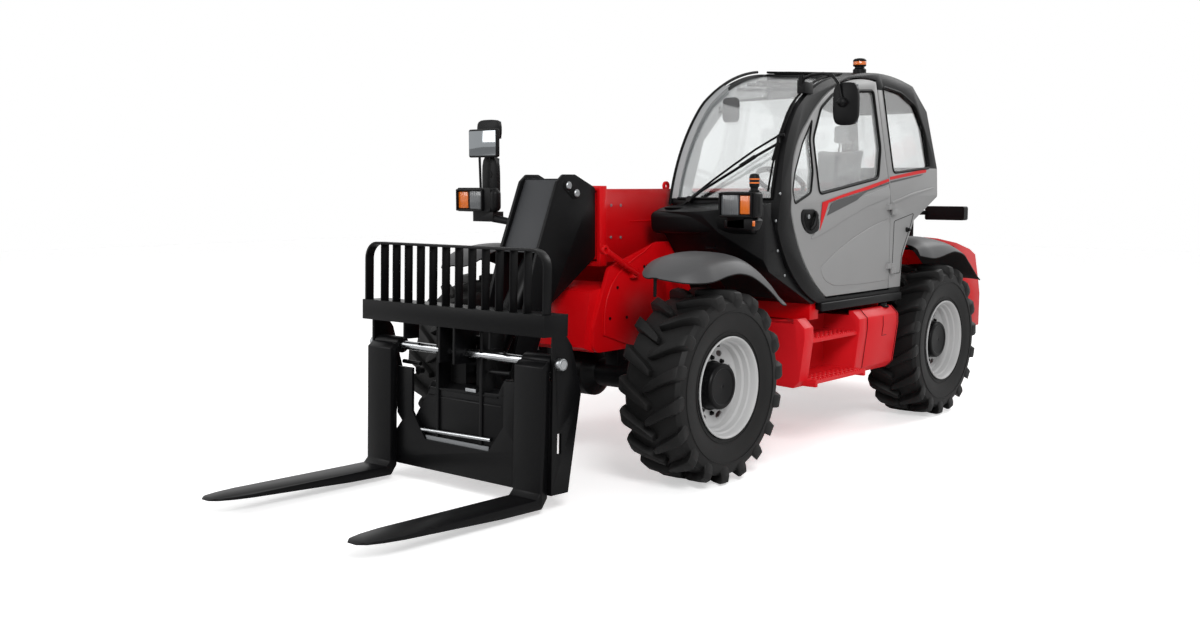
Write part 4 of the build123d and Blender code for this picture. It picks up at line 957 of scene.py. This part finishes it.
def makeLamps(shape):
    for name, (place, bevel) in shape["shells"].items():
        finishPiece(boxPiece(*place), name, "dark", bevel=bevel, segments=6, smooth=60)
    for name, (place, finish) in shape["lenses"].items():
        lensPiece(name, place, finish)
    for name, place in shape["rims"].items():
        finishPiece(framePiece(*place, shape["rimWall"]), name, "dark", bevel=4)
    finishPiece(platePiece("y", shape["foot"], 300, 392), "leftLampFoot", "dark", bevel=8, segments=3)
    finishPiece(boxPiece(1128, 1146, 292, 300, 1614, 1650), "leftSideMarker", "amber", bevel=3)
    # a small warning beacon on its post beside the lamp
    post = spunUp([(1, 0), (34, 0), (34, 10), (25, 14), (25, 30), (32, 34), (33, 96), (28, 112), (12, 118),
                   (1, 118)], shape["smallBeacon"])
    finishPiece(post, "smallBeaconFoot", "dark", bevel=1.5)
    for k, z in enumerate(shape["ringHeights"]):
        ring = spunUp([(28, 0), (35, 0), (35, 9), (28, 9)], (*shape["smallBeacon"][:2], z))
        finishPiece(ring, "smallBeaconRing_%d" % (k + 1), "amber")
    # roof beacon: rubber foot, amber dome and cap
    base = spunUp([(1, -40), (50, -40), (50, -6), (36, 6), (36, 14), (48, 20), (50, 26), (1, 26)],
                  (*shape["roofBeacon"], 2752))
    finishPiece(base, "beaconFoot", "dark", replaces=("beacon",))
    dome = spunUp([(1, 0), (50, 0), (51, 10), (50, 26), (1, 26)], (*shape["roofBeacon"], 2779))
    finishPiece(dome, "beaconLens", "amber", bevel=2)
    cap = spunUp([(1, 0), (50, 0), (50, 10), (40, 20), (20, 24), (1, 24)], (*shape["roofBeacon"], 2806))
    finishPiece(cap, "beaconCap", "dark", bevel=2)
    print("lamps made")


# mirrors: one on an arm from the roof, three on a post at the right-hand side
mirrorShape = {
    "leftShell": (1241, 1429, 1071, 1115, 2276, 2560), "leftGlass": (1253, 1417, 1109, 1118, 2290, 2546),
    "leftBall": (1322, 1066, 2428),
    "leftArm": [(925, 1195, 2560), (960, 1185, 2615), (1040, 1155, 2632), (1150, 1112, 2630),
                (1240, 1080, 2608), (1290, 1068, 2555), (1318, 1066, 2450)],
    "crank": [(-375, -60, 1185), (-375, -60, 1440), (-430, -80, 1560), (-560, -165, 1620), (-730, -190, 1650),
              (-800, -140, 1700)],
    "clampHeights": (1950, 2240),
    "rightShells": {"rightTallMirror": (-884, -736, -152, -100, 1700, 2081),
                    "rightWideMirror": (-930, -712, -152, -104, 2190, 2336)},
    "front": (-935, -645, -222, -190, 2070, 2268),
    "rightGlass": [(-872, -748, -100, -95, 1716, 2066), (-918, -724, -104, -98, 2202, 2324),
                   (-922, -658, -226, -221, 2083, 2255)],
}


def shellPiece(x0, x1, y0, y1, z0, z1, swell=14):
    # a mirror's back: a rounded plate that swells towards its middle
    piece = boxPiece(x0, x1, y0, y1, z0, z1)
    activate(piece)
    bpy.ops.object.mode_set(mode="EDIT")
    bpy.ops.mesh.select_all(action="SELECT")
    bpy.ops.mesh.subdivide(number_cuts=5)
    bpy.ops.object.mode_set(mode="OBJECT")
    middle = at((x0 + x1) / 2, 0, (z0 + z1) / 2)
    halfX, halfZ = (x1 - x0) / 2000, (z1 - z0) / 2000
    for vertex in piece.data.vertices:
        u = (vertex.co.x - middle.x) / halfX
        v = (vertex.co.z - middle.z) / halfZ
        pull = math.sqrt(1 - 0.30 * abs(u * v) ** 3)
        vertex.co.x = middle.x + u * halfX * pull
        vertex.co.z = middle.z + v * halfZ * pull
        if vertex.co.y < at(0, (y0 + y1) / 2, 0).y:
            vertex.co.y += swell / 1000 * (1 - (1 - u * u) * (1 - v * v))
    return piece


def makeMirrors(shape):
    finishPiece(shellPiece(*shape["leftShell"]), "leftMirrorShell", "dark", bevel=10, segments=3, smooth=60,
                replaces=("mirrors",))
    finishPiece(boxPiece(*shape["leftGlass"]), "leftMirrorGlass", "mirror", bevel=3)
    ball = spunUp([(1, -34), (18, -30), (32, -14), (34, 0), (32, 14), (18, 30), (1, 34)],
                  shape["leftBall"], 28)
    collar = spunUp([(1, -8), (42, -8), (42, 8), (1, 8)], shape["leftBall"], 28)
    arm = rodPiece(shape["leftArm"], 11, 12)
    foot = loftPiece([[(900, y, 2512), (962, y, 2512), (962, y, 2590), (900, y, 2604)] for y in (1185, 1300)])
    clamp = rodPiece([(925, 1195, 2560), (925, 1195, 2640)], 20, 12)
    finishPiece([ball, collar, arm, foot, clamp], "leftMirrorArm", "dark", bevel=2, smooth=45)
    # the right-hand post carries a tall mirror, a wide one and one that faces forward
    post = [rodPiece([(-800, -130, 1690), (-800, -130, 2320)], 14, 12), rodPiece(shape["crank"], 24, 14),
            boxPiece(-386, -330, -105, -15, 1135, 1225)]
    post += [rodPiece([(-800, -112, z), (-800, -150, z)], 30, 12) for z in shape["clampHeights"]]
    finishPiece(post, "rightMirrorPost", "dark", bevel=2, smooth=45)
    for name, place in shape["rightShells"].items():
        finishPiece(shellPiece(*place), name, "dark", bevel=8, segments=3, smooth=60)
    finishPiece(boxPiece(*shape["front"]), "rightFrontMirror", "dark", bevel=14, segments=5, smooth=60)
    arm = rodPiece([(-800, -130, 2150), (-800, -160, 2160), (-800, -200, 2160)], 12, 12)
    stem = rodPiece([(-842, -200, 2075), (-838, -196, 1850)], 9, 12)
    finishPiece([arm, stem], "rightFrontMirrorArm", "dark")
    finishPiece([boxPiece(*place) for place in shape["rightGlass"]], "rightMirrorGlass", "mirror", bevel=2)
    # work box behind the cab
    finishPiece(boxPiece(436, 810, 4231, 4309, 1561, 1684), "rearWorkBox", "dark", bevel=10, segments=3)
    print("mirrors made")


# fenders: thin moulded domes over the wheels, grey above, with a black sheet under each that is painted shade
#   each station: y, inner x, outer x, inner z, crown z, lip z
fenderShape = {
    "front": [(-418, 850, 925, 1312, 1317, 1311), (-402, 800, 1010, 1316, 1336, 1300),
              (-360, 752, 1085, 1338, 1368, 1290), (-290, 728, 1140, 1374, 1405, 1287),
              (-210, 720, 1166, 1405, 1434, 1290), (-131, 720, 1170, 1420, 1447, 1301),
              (-32, 720, 1170, 1434, 1456, 1319), (104, 720, 1170, 1436, 1454, 1326),
              (244, 720, 1170, 1410, 1428, 1298), (389, 720, 1170, 1346, 1362, 1231),
              (501, 720, 1170, 1272, 1286, 1164), (596, 720, 1170, 1184, 1196, 1100),
              (654, 720, 1170, 1128, 1136, 1088)],
    "rear": [(-400, 720, 1130, 1402, 1420, 1322), (-300, 720, 1166, 1434, 1452, 1304),
             (-200, 720, 1170, 1442, 1462, 1298), (-80, 720, 1170, 1438, 1460, 1308),
             (60, 720, 1170, 1418, 1440, 1328), (168, 720, 1170, 1388, 1410, 1335),
             (327, 720, 1170, 1318, 1338, 1305), (420, 720, 1170, 1262, 1280, 1246),
             (520, 720, 1170, 1190, 1206, 1176), (620, 720, 1170, 1112, 1124, 1104),
             (680, 720, 1170, 1080, 1090, 1074)],
    "columns": 18, "easing": 4, "flat": 0.3, "bracketY": (230, 400), "bracketHalf": 28,
}


def domePoint(row, share):
    y, x0, x1, inner, crown, lip = row
    x = x0 + (x1 - x0) * share
    flat = fenderShape["flat"]
    if share < flat:
        return (x, y, crown - (crown - inner) * ((flat - share) / flat) ** 2)
    fall = (share - flat) / (1 - flat)
    return (x, y, crown - (crown - lip) * (1 - math.sqrt(max(0.0, 1 - fall ** 3.2))))


def easedRows(rows, steps):
    # stations between the given ones, on one smooth curve through them all
    eased = []
    for k in range(len(rows) - 1):
        before, a, b, after = rows[max(0, k - 1)], rows[k], rows[k + 1], rows[min(len(rows) - 1, k + 2)]
        for t in (step / steps for step in range(steps)):
            eased.append(tuple(0.5 * (2 * a[i] + (b[i] - before[i]) * t
                                      + (2 * before[i] - 5 * a[i] + 4 * b[i] - after[i]) * t * t
                                      + (3 * a[i] - before[i] - 3 * b[i] + after[i]) * t ** 3)
                               for i in range(len(a))))
    return eased + [rows[-1]]


def domePiece(rows, lift, thick, offset=0):
    # a grid laid over the stations and given a wall
    columns, lines = fenderShape["columns"], len(rows) - 1
    deselectAll()
    bpy.ops.mesh.primitive_grid_add(x_subdivisions=columns, y_subdivisions=lines, size=1)
    piece = bpy.context.object
    for vertex in piece.data.vertices:
        column, line = round((vertex.co.x + 0.5) * columns), round((vertex.co.y + 0.5) * lines)
        x, y, z = domePoint(rows[line], column / columns)
        vertex.co = at(x, y + offset, z + lift)
    applyModifier(piece, "SOLIDIFY", thickness=thick / 1000, offset=-1)
    activate(piece)
    bpy.ops.object.mode_set(mode="EDIT")
    bpy.ops.mesh.select_all(action="SELECT")
    bpy.ops.mesh.normals_make_consistent(inside=False)
    bpy.ops.object.mode_set(mode="OBJECT")
    return piece


def makeFenders(shape):
    for name, offset in (("front", 0), ("rear", wheel["wheelbase"])):
        rows = easedRows(shape[name], shape["easing"])
        skins, undersideShades, brackets = [], [], []
        for side in (1, -1):
            # each grey skin gets a black sheet 6.5 mm under it: painted shade on its underside
            for lift, thick, store in ((0, 6, skins), (-6.5, 4, undersideShades)):
                piece = domePiece(rows, lift, thick, offset)
                store.append(piece if side > 0 else otherSide(piece))
            for y in shape["bracketY"]:
                y0, y1 = offset + y - shape["bracketHalf"], offset + y + shape["bracketHalf"]
                brackets.append(boxPiece(side * 330, side * 760, y0, y1, 1330, 1342))
                brackets.append(boxPiece(side * 748, side * 760, y0, y1, 1330, 1400))
            if name == "front":
                brackets.append(rodPiece([(side * 880, -395, 1322), (side * 880, -398, 1196)], 12, 10))
        finishPiece(skins, name + "FenderSkins", "fender", smooth=60, replaces=(name + "_fenders",))
        finishPiece(undersideShades, name + "FenderUndersideShade", "seal", smooth=60)
        finishPiece(brackets, name + "FenderBrackets", "black", bevel=2)
    print("fenders made")


# chassis and boom details
frameShape = {
    "arch": [(428, 1475), (273, 1481), (181, 1430), (100, 1398), (17, 1362), (-87, 1300), (-166, 1221),
             (-213, 1130), (-231, 1060), (-236, 985), (-236, 900), (120, 780), (428, 900)],
    "archBolts": ((-103, 1205), (-180, 1007), (-6, 1001), (180, 1330), (240, 930)),
    "prop": [(372, -262, 1456), (372, 60, 1294)],
    "nose": ((296, 0, 0), (330, -8, 0), (620, 50, 0), (900, 120, -6), (1010, 170, -10)),
    "padBolts": ((30, 1741), (131, 1740), (27, 1527), (131, 1523)),
    "pinShadowOutline": [(-424, 1908), (-452, 1880), (-440, 1850), (-352, 1786), (-318, 1786), (-290, 1812),
                (-300, 1846), (-388, 1908)],
    "pins": ((-400, 1874), (-322, 1824)),
    "headFace": [(-457, 1909), (-664, 1449), (-669, 1451), (-462, 1911)],
    "headRib": [(-459, 1912), (-395, 1910), (-395, 1916), (-464, 1918)],
}


def boltHead(x, y, z, radius=8):
    # hexagon head on its washer, facing out along X
    washer = spunPiece([(-4, 1), (-4, radius * 1.35), (2, radius * 1.35), (2, 1)], (x, y, z), 20)
    head = spunPiece([(1, 1), (1, radius), (radius * 0.7, radius), (radius * 0.85, radius * 0.8),
                      (radius * 0.85, 1)], (x, y, z), 6)
    piece = joinPieces([washer, head])
    if x < 0:
        piece.data.transform(turnAbout(at(x, y, z), "Z", 180))
    return piece


def makeFrameDetails(shape):
    plates = [platePiece("x", shape["arch"], side * 329, side * 341) for side in (1, -1)]
    plates += [rodPiece([(side * 341, y, z) for y, z in shape["arch"][1:11]], 6, 8) for side in (1, -1)]
    finishPiece(plates, "frameArchPlates", "red", bevel=2)
    finishPiece([boltHead(342, y, z) for y, z in shape["archBolts"]], "frameArchBolts", "black")
    # a safety prop for the boom is pinned to the frame
    prop = rodPiece(shape["prop"], 22, 16)
    eye = spunPiece([(-16, 15), (-16, 30), (16, 30), (16, 15)], (372, -274, 1462), 28)
    finishPiece([prop, eye, boxPiece(340, 372, 20, 90, 1262, 1322)], "boomProp", "red", bevel=2, smooth=45)
    # nose of the cowl, with the recess that the wipers stand in
    nose = loftPiece([[(x, 306 + back, 1590), (x, 300 + back, 1672 + drop), (x, 318 + back, 1692 + drop),
                       (x, 410 + back, 1722 + drop), (x, 560 + back * 0.4, 1742 + drop),
                       (x, 560 + back * 0.4, 1556), (x, 400 + back, 1548), (x, 330 + back, 1556)]
                      for x, back, drop in shape["nose"]])
    finishPiece(nose, "cowlNose", "dark", bevel=16, segments=4, smooth=50)
    recess = spunUp([(1, 0), (62, 0), (68, 4), (68, 9), (60, 12), (1, 12)], (398, 440, 1716))
    finishPiece(recess, "wiperRecess", "seal", bevel=2)
    crease = rodPiece([(704, 384, 1462), (716, 620, 1446), (724, 844, 1434)], 7, 8)
    finishPiece(crease, "cowlCrease", "dark")
    # boom collar: wear pad screws, the step of the outer plate and a lifting eye
    screws = [boltHead(side * 176, y, z) for side in (1, -1) for y, z in shape["padBolts"]]
    finishPiece(screws, "wearPadBolts", "zinc", "boom")
    collar = []
    for side in (1, -1):
        collar.append(boxPiece(side * 174, side * 180, -108, -72, 1372, 1838))
        collar.append(boxPiece(side * 174, side * 180, 227, 2700, 1628, 1634))
    collar.append(boxPiece(-160, 160, -108, -72, 1849, 1858))
    collar.append(platePiece("y", [(-90, 1850), (90, 1850), (70, 1872), (-70, 1872)], -100, 20))
    collar.append(spunPiece([(-9, 14), (-9, 34), (9, 34), (9, 14)], (120, 710, 1870), 28))
    finishPiece(collar, "boomCollar", "red", "boom", bevel=2)
    # pin heads on a thin black plate that is painted shadow in their slanted recess on the boom head, and the
    # face plate between its cheeks
    pinShadowPlates, pins = [], []
    for side in (1, -1):
        # a thin black plate in the recess outline: painted shadow
        pinShadowPlates.append(platePiece("x", roundedCorners(shape["pinShadowOutline"], 14), side * 172, side * 177))
        for y, z in shape["pins"]:
            head = spunPiece([(0, 1), (0, 25), (7, 25), (11, 21), (11, 1)], (176, y, z), 32)
            pins.append(head if side > 0 else otherSide(head))
    finishPiece(pinShadowPlates, "boomHeadPinShadow", "seal", "telescope", bevel=1.5)
    finishPiece(pins, "boomHeadPins", "zinc", "telescope", smooth=40)
    # the face plate and rib take the black coat painted lighter, as a painted sky reflection
    finishPiece([platePiece("x", shape[part], -147, 147) for part in ("headFace", "headRib")], "boomHeadFacePaintedReflection",
                "paintedReflectionGrey", "telescope", bevel=1.5)
    print("frame details made")


# hitch and fork carriage, which stands tipped back by a small angle
hitchShape = {
    "tip": -1.7, "pivot": (0, -930, 380),
    "panel": [(-330, 240), (330, 240), (398, 330), (398, 622), (330, 630), (-262, 612), (-300, 560),
              (-398, 420), (-398, 330)],
    "lip": [(330, 622), (398, 614), (398, 700), (372, 700)],
    "shaft": (800, -1199, 852), "guardHalf": 786, "guardEdge": 45, "guardBars": 12, "guardBarHalf": 5.5,
    "tabX": (-430, 330), "stopX": (-400, 390),
}


def tipped(pieces):
    piece = joinPieces(pieces)
    piece.data.transform(turnAbout(at(*hitchShape["pivot"]), "X", hitchShape["tip"]))
    return piece


def makeCarriageDetails(shape):
    # chromed bar of the locking hitch, its bright strip and the pressed panel behind them
    bar = rodPiece([(-330, -1230, 336), (290, -1230, 350)], 13, 20)
    finishPiece(tipped([bar]), "hitchBar", "chrome", "carriage")
    strip = loftPiece([[(-300, y, 262), (262, y, 262), (262, y + 6, 304), (-300, y + 6, 304)]
                       for y in (-1232, -1222)])
    finishPiece(tipped([strip]), "hitchStrip", "strip", "carriage", bevel=1.5)
    panel = [platePiece("y", shape["panel"], -1214, -1206), platePiece("y", shape["lip"], -1218, -1206),
             loftPiece([[(x, -1218, 552), (x, -1214, 560), (x, -1218, 568), (x, -1206, 568), (x, -1206, 552)]
                        for x in (-280, 360)]),
             boxPiece(-262, 330, -1222, -1206, 604, 614)]
    panel += [boxPiece(side * 690, side * 780, -1246, -1238, 290, 760) for side in (1, -1)]
    finishPiece(tipped(panel), "hitchPanel", "black", "carriage", bevel=1.5)
    # heads at both ends of the fork shaft
    heads = []
    for side in (1, -1):
        centre = (side * shape["shaft"][0], *shape["shaft"][1:])
        head = spunPiece([(-4, 1), (-4, 36), (30, 36), (38, 32), (38, 24), (34, 1)], centre, 36)
        if side < 0:
            head.data.transform(turnAbout(at(*centre), "Z", 180))
        heads.append(head)
    finishPiece(tipped(heads), "shaftHeads", "zinc", "carriage", bevel=1.5)
    # deeper guard bars
    bars = []
    for i in range(shape["guardBars"]):
        x = shape["guardEdge"] - shape["guardHalf"]
        x += 2 * (shape["guardHalf"] - shape["guardEdge"]) / (shape["guardBars"] + 1) * (i + 1)
        bars.append(boxPiece(x - shape["guardBarHalf"], x + shape["guardBarHalf"], -1314, -1254, 1130, 1500))
    finishPiece(tipped(bars), "guardBarFaces", "black", "carriage", bevel=1.5)
    # cushions and stops under the beam
    tabs = [boxPiece(x, x + 16, -1300, -1180, 905, 1012) for x in shape["tabX"]]
    tabs.append(rodPiece([(-560, -1180, 745), (-400, -1180, 742)], 14, 12))
    tabs.append(rodPiece([(230, -1180, 752), (400, -1180, 756)], 14, 12))
    tabs += [rodPiece([(x, -1200, 700), (x, -1165, 700)], 26, 16) for x in shape["stopX"]]
    tabs.append(rodPiece([(-34, -1230, 900), (-6, -1215, 1000)], 5, 8))
    finishPiece(tipped(tabs), "carriageTabs", "black", "carriage", bevel=2)
    plate = tipped([boxPiece(60, 150, -1226, -1214, 620, 640)])
    finishPiece(plate, "hitchRatingPlate", "zinc", "carriage", bevel=1)
    print("carriage details made")


# steps and tank: height and outer x of each tread, then what is pressed in it
stepShape = {
    "treads": ((530, 1168), (809, 1108)), "start": 1105, "depth": 190, "teeth": 20, "toothPitch": 31,
    "holeRows": 10, "holeColumns": 3, "holePitch": (52, 62),
    "tankCap": (1040, 2249), "seamY": (1862, 2338),
    "seam": [(1041, 473), (1088, 522), (1128, 822), (1125, 896), (1064, 956), (900, 958)],
}


def makeStepDetails(shape):
    # perforated treads with a toothed front edge
    pieces = []
    across, along = shape["holePitch"]
    for z, edge in shape["treads"]:
        for i in range(shape["teeth"]):
            y = shape["start"] + i * shape["toothPitch"]
            pieces.append(loftPiece([[(edge - back, y - half, z + up), (edge + front, y - half, z + up),
                                      (edge + front, y + half, z + up), (edge - back, y + half, z + up)]
                                     for back, front, half, up in ((10, 0.5, 9, -1), (8, -1, 4, 9))]))
        for i in range(shape["holeRows"]):
            for j in range(shape["holeColumns"]):
                y = shape["start"] + 12 + i * along + (j % 2) * along / 2
                pieces.append(spunUp([(6, -1), (15, -1), (15, 3), (11, 7), (6, 7)],
                                     (edge - shape["depth"] + 40 + j * across, y, z - 1), 10))
    finishPiece(pieces, "stepTreadTeeth", "stepRed", smooth=40)
    # tank: filler cap on the shoulder, seams and the line of a riveted plate
    cap = spunUp([(1, -4), (44, -4), (44, 6), (38, 10), (38, 26), (32, 32), (1, 32)],
                 (*shape["tankCap"], 950))
    finishPiece(cap, "tankCap", "dark", bevel=2)
    neck = spunUp([(30, -6), (56, -6), (56, 2), (50, 4), (30, 4)], (*shape["tankCap"], 952))
    finishPiece(neck, "tankNeck", "seal")
    seams = [rodPiece([(x + 1, y, z + 1) for x, z in shape["seam"]], 2.6, 6) for y in shape["seamY"]]
    finishPiece(seams, "tankSeams", "seal")
    plateLine = rodPiece([(1126.5, 2110, 890), (1129, 2110, 820), (1118, 2110, 742), (1118, 2180, 742)],
                         2.4, 6)
    finishPiece(plateLine, "tankPlateLine", "seal")
    print("steps made")


# rear and engine side: tail lamps, towing jaw, grille, hood louvres and latches
rearShape = {
    "tailLamps": ((814, 886, "tailLens", "Tail"), (892, 968, "amber", "Turn"),
                  (974, 1046, "lens", "Reverse")),
    "tailX": (622, 708), "tailY": 4464,
    "jaw": ((-70, 70, 4425, 4475, 590, 612), (-70, 70, 4425, 4475, 740, 762),
            (-90, 90, 4417, 4433, 570, 790)),
    "slats": 9, "slatPitch": 34, "slatLean": 5.2, "louvres": 12, "louvrePitch": 62, "latchY": (960, 1380),
}


def makeRearDetails(shape):
    inner, outer = shape["tailX"]
    for side, name in ((1, "left"), (-1, "right")):
        for z0, z1, finish, part in shape["tailLamps"]:
            lensPiece(name + part + "Lens", (side * inner, side * outer, shape["tailY"], z0, z1), finish, 1)
    jaw = [rodPiece([(0, 4433, 560), (0, 4433, 800)], 18, 16)] + [boxPiece(*place) for place in shape["jaw"]]
    finishPiece(jaw, "towingJaw", "black", bevel=3)
    # the grille leans forward as it rises
    slats = []
    for i in range(shape["slats"]):
        y, z = 4384 - i * shape["slatLean"], 860 + i * shape["slatPitch"]
        slats.append(boxPiece(-300, 300, y, y + 7, z, z + 12))
    finishPiece(slats, "rearGrilleSlats", "black", bevel=1.5)
    bump = spunUp([(1, -6), (30, -6), (30, 8), (22, 18), (1, 20)], (600, 3300, 1446))
    finishPiece(bump, "hoodCap", "red", bevel=3)
    louvres = []
    for i in range(shape["louvres"]):
        y = 1500 + i * shape["louvrePitch"]
        louvres.append(platePiece("z", [(-1126, y), (-1138, y + 6), (-1138, y + 22), (-1126, y + 40)],
                                  1010, 1290))
    finishPiece(louvres, "hoodLouvres", "black", "hood", bevel=2)
    latches = [spunPiece([(-6, 1), (-6, 22), (4, 22), (8, 16), (8, 1)], (-1132, y, 1080), 24)
               for y in shape["latchY"]]
    finishPiece(latches, "hoodLatches", "dark", "hood", bevel=1.5)
    print("rear details made")


placeCamera(cameraView)
makeStudio(studio)
dressNodes()
print("frame dressed")
makeWheels(tyreShape)
makeRims(rimShape)
softenNodes(softened)
makeDoor(doorShape)
makeWindshield(glassShape)
makeRearPanel(panelShape)
makeCabInside(insideShape)
makeSeat(seatShape)
makeLamps(lampShape)
makeMirrors(mirrorShape)
makeFenders(fenderShape)
makeFrameDetails(frameShape)
makeCarriageDetails(hitchShape)
makeStepDetails(stepShape)
makeRearDetails(rearShape)
